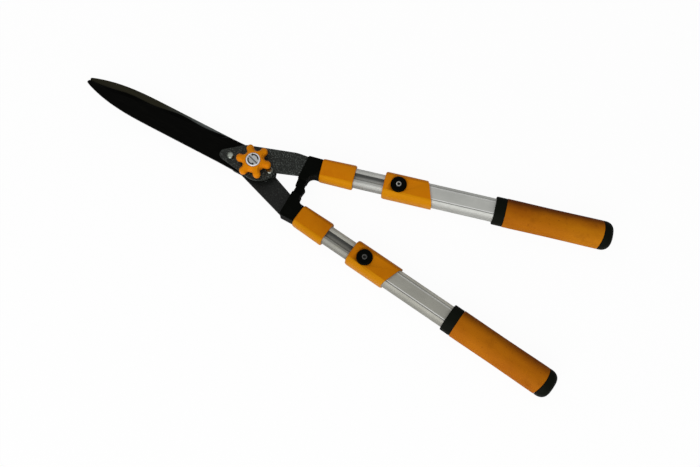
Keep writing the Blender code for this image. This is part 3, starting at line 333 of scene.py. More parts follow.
def build_grain_group():
    """Fine moulded grain as a height, with a slight ripple."""
    tree, given, result = new_group("Moulded grain", "Height",
                                    {"Grain size": 0.0006, "Ripple": 0.3})
    grain = noise(given["Vector"], maths("DIVIDE", 1.0, given["Grain size"]), 2.0, 0.5)
    ripple = noise(given["Vector"], 60.0, 2.0, 0.5)
    feed(result, {"Height": maths("ADD", grain, times(ripple, given["Ripple"]))})
    return tree


GROUPS = {}    # the shared node groups, once the first operator has built them


class Coat:
    """A finish in the making: its shader, its coordinates and its colour so far."""

    def __init__(self, name, colour, metallic=0.0, roughness=0.5, specular=0.5):
        material = bpy.data.materials.new(name)
        material.use_nodes = True
        tree = material.node_tree
        self.shader = tree.nodes["Principled BSDF"]
        feed(self.shader, {"Metallic": metallic, "Roughness": roughness,
                           "Specular IOR Level": specular})
        self.place = build("ShaderNodeTexCoord", {}, tree).outputs["Object"]
        self.colour = colour

    def over(self, mask, colour, share=1.0):
        """Lay a colour over the one below where a mask says, up to a share."""
        if share < 1.0:
            mask = times(mask, share)
        self.colour = mix(mask, self.colour, colour)
        feed(self.shader, {"Base Color": self.colour})

    def cloud(self, scale, detail, roughness, *limits):
        return ramp(noise(self.place, scale, detail, roughness), *limits)

    def group(self, name, values):
        return build("ShaderNodeGroup", {"Vector": self.place, **values},
                     node_tree=GROUPS[name]).outputs[0]

    def dust(self, broad, specks):
        return self.group("dust", {"Broad": broad, "Specks": specks})

    def wear(self, radius, amount, colour):
        """Edges rubbed to another colour."""
        self.over(self.group("wear", {"Radius": radius, "Amount": amount}), colour)

    def rough(self, value):
        feed(self.shader, {"Roughness": value})

    def bump(self, height, distance, strength, radius=0.0):
        """Bump from a height; a radius also rounds sharp edges in the shading."""
        node = build("ShaderNodeBump", {"Height": height, "Distance": distance,
                                        "Strength": strength})
        if radius:
            soft = build("ShaderNodeBevel", {"Radius": radius}, node.id_data, samples=6)
            feed(node, {"Normal": soft.outputs["Normal"]})
        feed(self.shader, {"Normal": node.outputs["Normal"]})

    def grain(self, size, ripple, distance, strength, radius=0.0):
        """Moulded grain as a bump."""
        self.bump(self.group("grain", {"Grain size": size, "Ripple": ripple}), distance,
                  strength, radius)


def along_handle(place, side, share):
    """Object coordinates turned to a handle and squeezed along it."""
    return squeezed(turned(place, -side * HANDLE_SPREAD), share)


def across_handle(place, side):
    """Distance from a handle's axis across it, larger away from the camera."""
    middle = HANDLE_MID_Y + side * HANDLE_START.y
    axis_y = (-side * HANDLE_START.x * math.sin(HANDLE_SPREAD)
              + middle * math.cos(HANDLE_SPREAD))
    return maths("SUBTRACT", component(turned(place, -side * HANDLE_SPREAD), "Y"), axis_y)


def dim(colour, *shares):
    """A colour times one share, or times a share each for red, green and blue."""
    return tuple(value * share for value, share in zip(colour, shares * (3 // len(shares))))


def orange_plastic(name, colours, share, side=None, dirty=1.0):
    """Moulded plastic; on a handle its flank towards the camera is painted a little lighter and
    yellower as painted light.
    """
    colour = dim(colours.orange, share)
    coat = Coat(name, colour, specular=0.12)
    feed(coat.shader, {"Specular Tint": (1.0, 0.55, 0.12)})
    coat.over(coat.cloud(38.0, 3.0, 0.5, 0.35, 0.75), dim(colour, 0.90, 0.82, 0.8))
    if side:
        # Painted light: the flank towards the camera is lighter and yellower
        flank = ramp(across_handle(coat.place, side), -0.0088, -0.0100)
        coat.over(flank, dim(colour, 0.98, 1.16, 1.0))
    dirt = coat.dust(0.30 * dirty, 0.22 * dirty)
    coat.over(dirt, dim(colour, 0.72, 0.60, 0.6))
    coat.wear(0.0007, 0.35, dim(colour, 1.2, 1.3, 2.0))
    coat.rough(ramp(dirt, 0.0, 1.0, 0.40, 0.62))
    coat.grain(0.0005, 0.6, 0.00004, 0.6, 0.0006)


def grip_rubber(name, colours, side):
    """Soft rubber, darker on its side away from the camera, partly grime and partly painted shade;
    the front one has a painted highlight near its end.
    """
    fresh = tuple(colours.grip)
    coat = Coat(name, fresh, roughness=0.75, specular=0.06)
    drawn = along_handle(coat.place, side, 0.45)
    coat.over(ramp(noise(drawn, 34.0, 4.0, 0.55), 0.36, 0.72), dim(fresh, 0.80, 0.70, 0.6))
    across = across_handle(coat.place, side)
    if side == FRONT:
        # Painted highlight: the front grip's near side grows paler towards its end
        near_highlight = times(ramp(component(coat.place, "X"), *NEAR_GRIP_HIGHLIGHT), ramp(across, 0.007, -0.005))
        coat.over(near_highlight, dim(fresh, 1.32, 1.55, 2.0), 0.60)
    # Darker towards the far side: partly grime, partly painted shade
    edge = maths("ADD", across, times(noise(drawn, 22.0, 4.0, 0.6), 0.016))
    reach, share = LOOKS[side]["grime_and_shade"]
    coat.over(ramp(edge, 0.010, reach), colours.grime_and_shade, share)
    spots = coat.dust(0.45, 0.5)
    coat.over(spots, colours.grime_and_shade, 0.62)
    coat.rough(ramp(spots, 0.0, 1.0, 0.66, 0.85))
    coat.grain(0.0009, 0.8, 0.00012, 0.7)


def black_plastic(name, colours, share=1.0):
    coat = Coat(name, dim(colours.black, share), roughness=0.48, specular=0.02)
    coat.over(coat.dust(0.25, 0.25), tuple(value * 3.0 + 0.006 for value in colours.black))
    coat.wear(0.0006, 0.45, (0.030, 0.030, 0.028))
    coat.rough(coat.cloud(70.0, 3.0, 0.5, 0.3, 0.7, 0.42, 0.58))
    coat.grain(0.00045, 0.3, 0.00006, 0.6, 0.0006)


def hammered_coat(name, colours, share):
    """Speckled powder coat with a fine pebbled skin; a share below 1 darkens it, which the rear arm
    uses as painted shade.
    """
    colour = dim(colours.arm, share)
    coat = Coat(name, colour, metallic=0.2, specular=0.3)
    cells = build("ShaderNodeTexVoronoi", {"Vector": coat.place, "Scale": 560.0})
    pebbles = cells.outputs["Distance"]
    flecks = times(coat.cloud(640.0, 2.0, 0.6, 0.53, 0.68),
                   coat.cloud(30.0, 3.0, 0.5, 0.3, 0.7, 0.55, 1.0))
    coat.over(ramp(pebbles, 0.2, 0.7), dim(colour, 0.32))
    coat.over(flecks, dim(colours.arm_fleck, share ** 2), 0.65)
    coat.wear(0.0006, 0.6, (0.16, 0.17, 0.15))
    coat.rough(ramp(flecks, 0.0, 1.0, 0.56, 0.40))
    coat.bump(maths("ADD", pebbles, times(flecks, 0.4)), 0.00010, 0.6, 0.0004)


def blade_coat(name, colours, side):
    """Non-stick coat with long faint rub marks and edges rubbed to the steel."""
    front = side == FRONT
    coat = Coat(name, colours.blade if front else colours.rear_blade, specular=0.02)
    scuffed = (0.010, 0.010, 0.008)
    drawn = squeezed(turned(coat.place, BLADE_SKEW), 0.06)
    streaks = ramp(noise(drawn, 420.0, 3.0, 0.6), 0.45, 0.75)
    scuffs = coat.cloud(46.0, 5.0, 0.6, 0.55, 0.8)
    if front:
        coat.over(streaks, dim(scuffed, 0.5), 0.25)
    else:
        coat.over(ramp(component(coat.place, "X"), *REAR_HEEL), colours.rear_heel)
        coat.over(streaks, scuffed, 0.5)
    coat.over(scuffs, scuffed, 0.2)
    coat.wear(0.0004, 0.8, (0.16, 0.16, 0.15))
    coat.rough(ramp(scuffs, 0.0, 1.0, 0.34, 0.52))
    coat.grain(0.0005, 0.2, 0.00003, 0.4, 0.0003)


def drawn_aluminium(name, colours, side, tones, half, channel=False):
    """Drawn tube with fine lines; tones are its near flank's, its top's and its far side's, lit and
    shaded copies of the metal as painted light and shade.
    """
    metal = dim(colours.aluminium, *LOOKS[side]["tint"])
    near, top, far = (dim(metal, tone) for tone in tones)
    coat = Coat(name, top, metallic=0.3, specular=0.3)
    lines = noise(along_handle(coat.place, side, 0.02), 700.0, 3.0, 0.6)
    cloud = noise(coat.place, 26.0, 4.0, 0.6)
    across = across_handle(coat.place, side)
    flank = half - TUBE_FLANK
    far_edge = (0.0, CHANNEL_HALF) if channel else (flank, flank + TONE_EDGE)
    # Painted light and shade: near flank and far side in tones of their own
    coat.over(ramp(across, -flank, -flank - TONE_EDGE), near)
    coat.over(ramp(across, *far_edge), far)
    coat.over(ramp(lines, 0.5, 0.75, 0.0, 0.16), dim(top, 0.5))
    coat.over(ramp(cloud, 0.35, 0.7, 0.0, 0.3), dim(top, 0.55))
    # Painted shade along the near edge
    coat.over(ramp(across, 0.0032 - half, 0.0006 - half), dim(top, 0.25), LOOKS[side]["shade"])
    if channel:
        coat.over(coat.cloud(170.0, 4.0, 0.65, 0.58, 0.72), (0.25, 0.25, 0.16), 0.45)
        # Painted shade down in the channel, darkest towards its far side
        channel_shade = ramp(across, CHANNEL_HALF, CHANNEL_HALF - TONE_EDGE)
        coat.over(times(channel_shade, ramp(across, -0.0024, 0.0028)), (0.014, 0.015, 0.013), 0.96)
    else:
        out = maths("ABSOLUTE", across)
        # Painted shade of the groove and a painted highlight on the crest beside it
        coat.over(band(out, *GROOVE_SHADE), (0.10, 0.10, 0.095), 0.75)
        coat.over(band(out, *CREST_HIGHLIGHT), (0.80, 0.80, 0.79), 0.5)
    coat.wear(0.0004, 0.3, (0.70, 0.70, 0.68))
    coat.rough(ramp(cloud, 0.3, 0.7, 0.44, 0.52))
    coat.bump(lines, 0.00001, 0.2)


def bright_steel(name, colour, rough=0.3):
    coat = Coat(name, colour, metallic=1.0)
    cloud = noise(coat.place, 240.0, 4.0, 0.6)
    coat.over(ramp(cloud, 0.4, 0.7), dim(colour, 0.72))
    coat.over(coat.dust(0.3, 0.5), (0.20, 0.17, 0.13))
    coat.rough(ramp(cloud, 0.3, 0.7, rough - 0.06, rough + 0.10))
    coat.grain(0.0003, 0.2, 0.00002, 0.4, 0.0003)


def socket_steel(name, colours, share):
    """Button screw: dull head, painted dark down in its socket as painted shade; the rear one's
    lower share is painted shade too.
    """
    colour = dim(colours.steel, share)
    coat = Coat(name, colour, metallic=0.7, roughness=0.42)
    cloud = noise(coat.place, 500.0, 3.0, 0.6)
    coat.over(ramp(cloud, 0.35, 0.7), dim(colour, 0.6))
    # Painted shade down in the socket
    sunk = ramp(component(coat.place, "Z"), SCREW_TOP - 0.00008, SCREW_TOP - 0.0003)
    coat.over(sunk, (0.008, 0.008, 0.006))
    coat.bump(cloud, 0.00002, 0.4)


def disc_metal(name, colours):
    """Die-cast face with faint turning rings, a bright rim and painted shade along its slot."""
    coat = Coat(name, colours.disc, metallic=0.35, specular=0.3)
    rings = build("ShaderNodeTexWave", {"Vector": coat.place, "Scale": 420.0, "Distortion": 1.5,
                                        "Detail": 2.0},
                  wave_type="RINGS", rings_direction="Z").outputs["Fac"]
    coat.over(ramp(rings, 0.2, 0.9), dim(colours.disc, 0.82))
    coat.over(coat.dust(0.2, 0.3), (0.30, 0.29, 0.27))
    # Painted shade: a dark line down the slot
    aside = maths("ABSOLUTE", component(turned(coat.place, -SLOT_TURN), "Y"))
    coat.over(ramp(aside, 0.0009, 0.0004), (0.06, 0.06, 0.06), 0.9)
    flat = build("ShaderNodeVectorMath", {0: coat.place, 1: (1.0, 1.0, 0.0)}, operation="MULTIPLY")
    reach = build("ShaderNodeVectorMath", {0: flat.outputs["Vector"]}, operation="LENGTH")
    coat.over(ramp(reach.outputs["Value"], *DISC_RIM), (0.72, 0.73, 0.76))
    coat.rough(ramp(rings, 0.0, 1.0, 0.36, 0.46))
    coat.bump(rings, 0.00002, 0.4, 0.0003)


def mark_paint(name, colours):
    coat = Coat(name, colours.mark, roughness=0.6, specular=0.3)
    chips = coat.cloud(900.0, 3.0, 0.6, 0.60, 0.70)
    coat.over(chips, (0.25, 0.25, 0.24), 0.6)
    coat.bump(chips, 0.00003, 0.5)


# Mesh helpers

def add_object(name, data):
    item = bpy.data.objects.new(name, data)
    bpy.context.scene.collection.objects.link(item)
    return item


def finish_piece(name, bm, finish, node, slot=None, sharp=38.0):
    """Turn a bmesh into a piece that rides with a CAD node; one with a slot replaces the node."""
    bmesh.ops.recalc_face_normals(bm, faces=bm.faces)
    mesh = bpy.data.meshes.new(name)
    bm.to_mesh(mesh)
    bm.free()
    mesh.shade_smooth()
    mesh.set_sharp_from_angle(angle=math.radians(sharp))
    mesh.materials.append(bpy.data.materials[finish])
    item = add_object(name, mesh)
    item.modifiers.new("Flat faces", "WEIGHTED_NORMAL").keep_sharp = True
    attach(item, BODY_OF[node])
    if slot:
        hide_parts(node)


def smoothed(node, finish, slot, sharp=32.0, refine=None):
    """A merged copy of a CAD node whose curved faces shade smoothly, refined by a function."""
    bm = bmesh.new()
    bm.from_mesh(NODES[node].data)
    bmesh.ops.remove_doubles(bm, verts=bm.verts, dist=2e-6)
    bmesh.ops.dissolve_degenerate(bm, edges=bm.edges, dist=1e-6)
    if refine:
        refine(bm)
    finish_piece(node + "_skin", bm, finish, node, slot, sharp)


def turn(bm, verts, angle, axis="Z"):
    bmesh.ops.rotate(bm, verts=verts, cent=(0, 0, 0), matrix=Matrix.Rotation(angle, 3, axis))


def shift(bm, x, y, z):
    bmesh.ops.translate(bm, verts=bm.verts, vec=(x, y, z))


def handle_matrix(side):
    """From a handle's own frame, X along it, to the shears' frame."""
    place = Matrix.Translation((HANDLE_START.x, HANDLE_MID_Y + side * HANDLE_START.y, HANDLE_Z))
    return place @ Matrix.Rotation(side * HANDLE_SPREAD, 4, "Z")


# A section is a function that gives a point for each place (c, s) on a unit circle

def grip_section(sizes, shrink=0.0, scale=1.0):
    """A grip's section, made narrower and lower by shrink, or scaled."""
    width = (sizes.grip_width - shrink) * scale
    height = (sizes.grip_height - shrink) * scale

    def point(c, s):
        return (math.copysign(abs(c) ** (2 / GRIP_POWER), c) * width / 2,
                math.copysign(abs(s) ** (2 / GRIP_POWER), s) * height / 2)
    return point


def bore_section(c, s):
    """Section of what closes round an outer tube, with a flat top and bottom."""
    side = math.copysign(TUBE_FLAT / 2, c)
    return side + (TUBE_WIDTH + 2 * GAP - TUBE_FLAT) / 2 * c, (TUBE_HEIGHT + 2 * GAP) / 2 * s


def extrude(bm, edges):
    """Extrude edges; gives the new vertices and the edges that join them."""
    made = bmesh.ops.extrude_edge_only(bm, edges=edges)["geom"]
    verts = {item for item in made if isinstance(item, bmesh.types.BMVert)}
    return verts, [item for item in made
                   if isinstance(item, bmesh.types.BMEdge) and verts.issuperset(item.verts)]


def sweep(stations, segments=96, closed=False):
    """Extrude a circle through stations (place, section); a place is a number or a function."""
    bm = bmesh.new()
    ring = bmesh.ops.create_circle(bm, cap_ends=False, radius=1.0, segments=segments)["verts"]
    turn(bm, ring, math.pi / segments)
    circle = [(vert.co.x, vert.co.y) for vert in ring]
    first = edges = list(bm.edges)
    for index, (place, section) in enumerate(stations):
        if index:
            new, edges = extrude(bm, edges)
            ring = [next(edge.other_vert(old) for edge in old.link_edges
                         if edge.other_vert(old) in new) for old in ring]
        for vert, (c, s) in zip(ring, circle):
            y, z = section(c, s)
            vert.co = (place(y) if callable(place) else place, y, z)
    if closed:
        bmesh.ops.bridge_loops(bm, edges=first + edges)
    else:
        bmesh.ops.holes_fill(bm, edges=first + edges, sides=0)
    return bm


def upright(stations, segments, closed=False):
    """The same sweep, but upwards: a section gives a point's x and y, a place its height."""
    def sideways(section):
        def point(c, s):
            x, y = section(c, s)
            return y, -x
        return point

    bm = sweep([(place, sideways(section)) for place, section in stations], segments, closed)
    turn(bm, bm.verts, math.radians(-90), "Y")
    return bm


def seam_place(offset):
    """Place of the bowed seam between grip and cap, across the handle."""
    def place(y):
        return SEAM + offset - SEAM_BOW * (y / SEAM_HALF) ** 2
    return place


def rounds(*pairs):
    """Round stations from pairs of a height and a radius."""
    def section(radius):
        return lambda c, s: (radius * c, radius * s)
    return [(height, section(radius)) for height, radius in pairs]


def hexagon_section(across, blend):
    """A hexagon of a width across its flats; blend below 1 draws it towards a circle."""
    def point(c, s):
        angle = math.atan2(s, c) % math.radians(60) - math.radians(30)
        radius = across / 2 / math.cos(angle) * blend + across / 2 * 1.08 * (1 - blend)
        return radius * c, radius * s
    return point


def star_section(inset, circle=0.0, share=0.0):
    """The knob's lobes and valleys, drawn in by an inset and blended towards a circle."""
    half = math.pi / KNOB_LOBES
    near = LOBE_CENTRE * math.cos(half)
    valley = ((LOBE_CENTRE ** 2 + KNOB_VALLEY ** 2 - 2 * near * KNOB_VALLEY - LOBE_RADIUS ** 2)
              / (2 * (LOBE_RADIUS + near - KNOB_VALLEY)))
    bottom = Vector((math.cos(half), math.sin(half))) * (KNOB_VALLEY + valley)
    toward = bottom - Vector((LOBE_CENTRE, 0.0))
    meet = math.atan2(toward.y, toward.x)
    split = 0.62

    def point(c, s):
        angle = math.atan2(s, c) - KNOB_TURN
        lobe = round(angle / (2 * half))
        place = (angle - lobe * 2 * half) / half
        if abs(place) < split:
            bend = place / split * meet
            spot = Vector((LOBE_CENTRE, 0.0))
            spot += Vector((math.cos(bend), math.sin(bend))) * (LOBE_RADIUS - inset)
        else:
            step = (abs(place) - split) / (1 - split)
            bend = (meet - math.pi) + step * (half - meet)
            spot = bottom + Vector((math.cos(bend), math.sin(bend))) * (valley + inset)
            spot.y *= math.copysign(1.0, place)
        spot.rotate(Matrix.Rotation(KNOB_TURN + lobe * 2 * half, 2))
        spot = spot.lerp(Vector((c, s)) * circle, share)
        return spot.x, spot.y
    return point


def spun(profile, steps):
    """Spin a profile of (radius, height) points about Z."""
    bm = bmesh.new()
    line = [bm.verts.new((radius, 0.0, height)) for radius, height in profile]
    edges = [bm.edges.new(pair) for pair in zip(line, line[1:])]
    bmesh.ops.spin(bm, geom=line + edges, cent=(0, 0, 0), axis=(0, 0, 1), angle=math.tau,
                   steps=steps, use_merge=True, use_duplicate=False)
    bmesh.ops.remove_doubles(bm, verts=bm.verts, dist=1e-7)
    return bm


# Operators

class ShearsOperator:
    bl_options = {"REGISTER", "UNDO"}


class SHEARS_OT_finishes(ShearsOperator, Operator):
    """Build the shared node groups and every finish"""
    bl_idname = "shears.finishes"
    bl_label = "Finishes"

    def execute(self, context):
        GROUPS.update(wear=build_wear_group(), dust=build_dust_group(), grain=build_grain_group())
        colours = context.scene.shears_colours
        orange_plastic("Knob plastic", colours, 1.18, dirty=0.1)
        black_plastic("Black plastic", colours)
        black_plastic("Black rubber", colours, 3.4)
        for side, name in SIDES:
            # Per-side shares: the same parts painted lighter on the front handle and darker on the
            # rear, as painted light and shade
            looks = LOOKS[side]
            orange_plastic("Orange plastic " + name, colours, looks["plastic"], side)
            hammered_coat("Arm coat " + name, colours, looks["arm"])
            blade_coat("Blade coat " + name, colours, side)
            grip_rubber("Grip rubber " + name, colours, side)
            drawn_aluminium("Outer tube " + name, colours, side, looks["outer"], TUBE_WIDTH / 2)
            drawn_aluminium("Inner tube " + name, colours, side, looks["inner"], INNER_HALF, True)
            socket_steel("Screw steel " + name, colours, looks["screw"])
        bright_steel("Bright steel", colours.steel)
        bright_steel("Spring steel", colours.steel, 0.4)
        bright_steel("Rivet steel", colours.rivet, 0.14)
        disc_metal("Knob disc", colours)
        mark_paint("Disc marks", colours)
        return {"FINISHED"}


class SHEARS_OT_blades(ShearsOperator, Operator):
    """Coat the blades and the arm plates"""
    bl_idname = "shears.blades"
    bl_label = "Blades and arms"

    def execute(self, context):
        for side, name in SIDES:
            slot = "blade_coat" if side == FRONT else "rear_blade_coat"
            smoothed(name + "_blade", "Blade coat " + name, slot, 12.0, self.round_tip)
            smoothed(name + "_arm", "Arm coat " + name, "arm_coat")
            for label in ("_nose_rivet", "_heel_rivet"):
                self.rivet(side, name + label, context.scene.shears_sizes.rivet_flat)
        return {"FINISHED"}

    def round_tip(self, bm):
        """Round the two sharp corners of a blade's tip."""
        bmesh.ops.dissolve_limit(bm, angle_limit=math.radians(0.2), verts=bm.verts, edges=bm.edges)
        for radius, low, high in zip(TIP_ROUND, TIP_ANGLES, TIP_ANGLES[1:]):
            corners = []
            for edge in bm.edges:
                along = edge.verts[0].co - edge.verts[1].co
                stands = along.xy.length < 0.2 * abs(along.z)
                if (stands and edge.verts[0].co.x < TIP_START
                        and low < edge.calc_face_angle(0.0) < high):
                    corners.append(edge)
            if not corners:
                raise RuntimeError("a blade has no tip corner to round")
            bmesh.ops.bevel(bm, geom=corners, offset=radius, offset_type="OFFSET", segments=6,
                            profile=0.5, affect="EDGES", clamp_overlap=False, material=-1)

    def rivet(self, side, node, flat):
        """Hammered head with a flat middle, shank and countersunk tail."""
        low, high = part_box(node)
        length = high.z - low.z
        radius, height = RIVET_HEAD
        seat = length - height
        profile = [(0.0, 0.0), (RIVET_TAIL[0], 0.0), (RIVET_SHANK, RIVET_TAIL[1]),
                   (RIVET_SHANK, seat), (radius - 0.0002, seat), (radius, seat + 0.0003)]
        for angle in (0.35, 0.62, 0.85):
            profile.append((flat + (radius - flat) * math.cos(angle) ** 1.2,
                            seat + 0.0003 + (height - 0.0003) * math.sin(angle) ** 0.9))
        profile += [(flat, length), (flat * 0.86, length - 0.00012), (0.0, length - 0.00022)]
        bm = spun(profile, 48)
        if side == REAR:
            turn(bm, bm.verts, math.pi, "X")
            shift(bm, 0.0, 0.0, length)
        middle = (low + high) / 2
        shift(bm, middle.x, middle.y, low.z)
        finish_piece(node + "_head", bm, "Rivet steel", node, "steel")


class SHEARS_OT_pivot(ShearsOperator, Operator):
    """Finish the pivot bolt, its spring and washer, and the star knob"""
    bl_idname = "shears.pivot"
    bl_label = "Pivot and knob"

    def execute(self, context):
        smoothed("pivot_bolt", "Bright steel", "steel")
        smoothed("disc_spring", "Spring steel", "spring_steel")
        smoothed("thrust_washer", "Bright steel", "steel")
        smoothed("knob_insert", "Knob disc", "steel")
        self.knob()
        self.marks(context.scene.shears_sizes)
        return {"FINISHED"}

    def knob(self):
        """Star with soft fingers that run up into the rim round the disc."""
        seat, bore = INSERT_RADIUS + GAP, INSERT_STEM + GAP
        low, top = LOBE_LOW, KNOB_TOP
        ledge = top - INSERT_FLANGE - GAP
        stations = rounds((KNOB_Z, bore), (KNOB_Z, 0.0128), (KNOB_Z + 0.0006, 0.0136),
                          (low, 0.0137))
        stations.append((low, star_section(0.0022, 0.0137, 0.3)))
        for rise, inset in ((0.0001, 0.0014), (0.0005, 0.0006), (0.0012, 0.0001), (0.0020, 0.0),
                            (0.0048, 0.0), (0.0062, 0.0003), (0.0073, 0.0009), (0.0081, 0.0018),
                            (0.0086, 0.0028)):
            stations.append((low + rise, star_section(inset)))
        for drop, inset, circle, share in ((0.0016, 0.0034, 0.0126, 0.30),
                                           (0.0010, 0.0036, 0.0119, 0.62),
                                           (0.0004, 0.0036, 0.0112, 0.86)):
            stations.append((top - drop, star_section(inset, circle, share)))
        stations += rounds((top - 0.0001, 0.0106), (top, 0.0101), (top, seat + 0.0003),
                           (top - 0.0003, seat), (ledge, seat), (ledge, bore))
        finish_piece("star_knob_fingers", upright(stations, 180, closed=True), "Knob plastic",
                     "star_knob", "orange_plastic", 50.0)

    def marks(self, sizes):
        """Two curved arrows on the disc, which show that the knob turns."""
        middle, half = sizes.mark_radius, sizes.mark_width / 2
        top = KNOB_TOP - 0.00002
        for index, (start, length) in enumerate(MARK_ARCS):
            bm = bmesh.new()
            ends = [bm.verts.new((radius, 0.0, top)) for radius in (middle - half, middle + half)]
            edge = bm.edges.new(ends)
            last = bmesh.ops.spin(bm, geom=ends + [edge], cent=(0, 0, 0), axis=(0, 0, 1),
                                  angle=math.radians(length), steps=28,
                                  use_merge=False, use_duplicate=False)["geom_last"]
            edges = [item for item in last if isinstance(item, bmesh.types.BMEdge)]
            for step, spread in MARK_HEAD:
                verts, edges = extrude(bm, edges)
                turn(bm, list(verts), math.radians(step))
                for vert in verts:
                    away = vert.co.xy.length - middle
                    vert.co.xy *= (middle + away * spread) / vert.co.xy.length
            bmesh.ops.remove_doubles(bm, verts=bm.verts, dist=1e-6)
            bmesh.ops.recalc_face_normals(bm, faces=bm.faces)
            bmesh.ops.solidify(bm, geom=bm.faces, thickness=sizes.mark_height)
            shift(bm, 0.0, 0.0, top - min(vert.co.z for vert in bm.verts))
            turn(bm, bm.verts, math.radians(start))
            finish_piece("turn_mark_%d" % (index + 1), bm, "Disc marks", "knob_insert")


class SHEARS_OT_tubes(ShearsOperator, Operator):
    """Finish the bumpers, ferrules and tubes"""
    bl_idname = "shears.tubes"
    bl_label = "Bumpers, ferrules and tubes"

    def execute(self, context):
        for _, name in SIDES:
            smoothed(name + "_bumper", "Black plastic", "black_plastic")
            smoothed(name + "_ferrule", "Orange plastic " + name, "orange_plastic")
            smoothed(name + "_inner_tube", "Inner tube " + name, "aluminium")
            smoothed(name + "_outer_tube", "Outer tube " + name, "aluminium")
            smoothed(name + "_tube_guide", "Black plastic", "black_plastic")
        return {"FINISHED"}


class SHEARS_OT_locks(ShearsOperator, Operator):
    """Finish the lock sleeves and their buttons"""
    bl_idname = "shears.locks"
    bl_label = "Locks"

    def execute(self, context):
        sizes = context.scene.shears_sizes
        for side, name in SIDES:
            smoothed(name + "_lock_sleeve", "Orange plastic " + name, "orange_plastic")
            smoothed(name + "_lock_pin", "Bright steel", "steel")
            smoothed(name + "_lock_spring", "Spring steel", "spring_steel")
            for label, stations, node, finish, slot, sharp in (
                    ("_button_cap", self.button(sizes), name + "_lock_button", "Black plastic",
                     "black_plastic", 38.0),
                    ("_socket_screw", self.screw(name + "_button_screw", sizes),
                     name + "_button_screw", "Screw steel " + name, "steel", 28.0)):
                bm = upright(stations, 72, closed=label == "_button_cap")
                spot = handle_matrix(side) @ Vector((BUTTON_PLACE, 0.0, 0.0))
                shift(bm, spot.x, spot.y, 0.0)
                finish_piece(name + label, bm, finish, node, slot, sharp)
        return {"FINISHED"}

    def button(self, sizes):
        """Round button: rolled rim, shallow dish, boss and spring recess underneath."""
        radius, top, base = sizes.button_radius, BUTTON_TOP, BUTTON_BASE
        dish = top - sizes.button_dish
        seat = top - SCREW_HEAD_HEIGHT - GAP
        hole, sunk = SCREW_SHANK + GAP, SCREW_HEAD + GAP
        recess = base + 0.0046
        return rounds((base + 0.0043, hole), (base + 0.0043, 0.0031), (base, 0.0031),
                      (base, 0.0042), (recess, 0.0042), (recess, 0.0059), (base, 0.0059),
                      (base, radius - 0.0003), (base + 0.0003, radius),
                      (top - 0.0017, radius), (top - 0.0011, radius - 0.00012),
                      (top - 0.0005, radius - 0.0005), (top - 0.00013, radius - 0.0011),
                      (top, radius - 0.0017), (top, radius - 0.0022),
                      (top - sizes.button_dish * 0.4, radius - 0.0025), (dish, radius - 0.0029),
                      (dish, sunk + 0.0003), (dish - 0.0003, sunk), (seat, sunk), (seat, hole))

    def screw(self, node, sizes):
        """Socket screw with a rounded rim and a hexagon socket."""
        low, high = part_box(node)
        top, under = high.z, BUTTON_TOP - SCREW_HEAD_HEIGHT
        socket = sizes.socket_width
        stations = rounds((low.z, SCREW_SHANK * 0.4), (low.z, SCREW_SHANK), (under, SCREW_SHANK),
                          (under, SCREW_HEAD), (top - 0.0006, SCREW_HEAD),
                          (top - 0.0002, SCREW_HEAD - 0.0002), (top, SCREW_HEAD - 0.0006))
        for drop, share, blend in ((0.0, 1.08, 0.3), (0.00015, 1.0, 1.0), (0.0013, 0.98, 1.0),
                                   (0.0014, 0.3, 0.2)):
            stations.append((top - drop, hexagon_section(socket * share, blend)))
        return stations


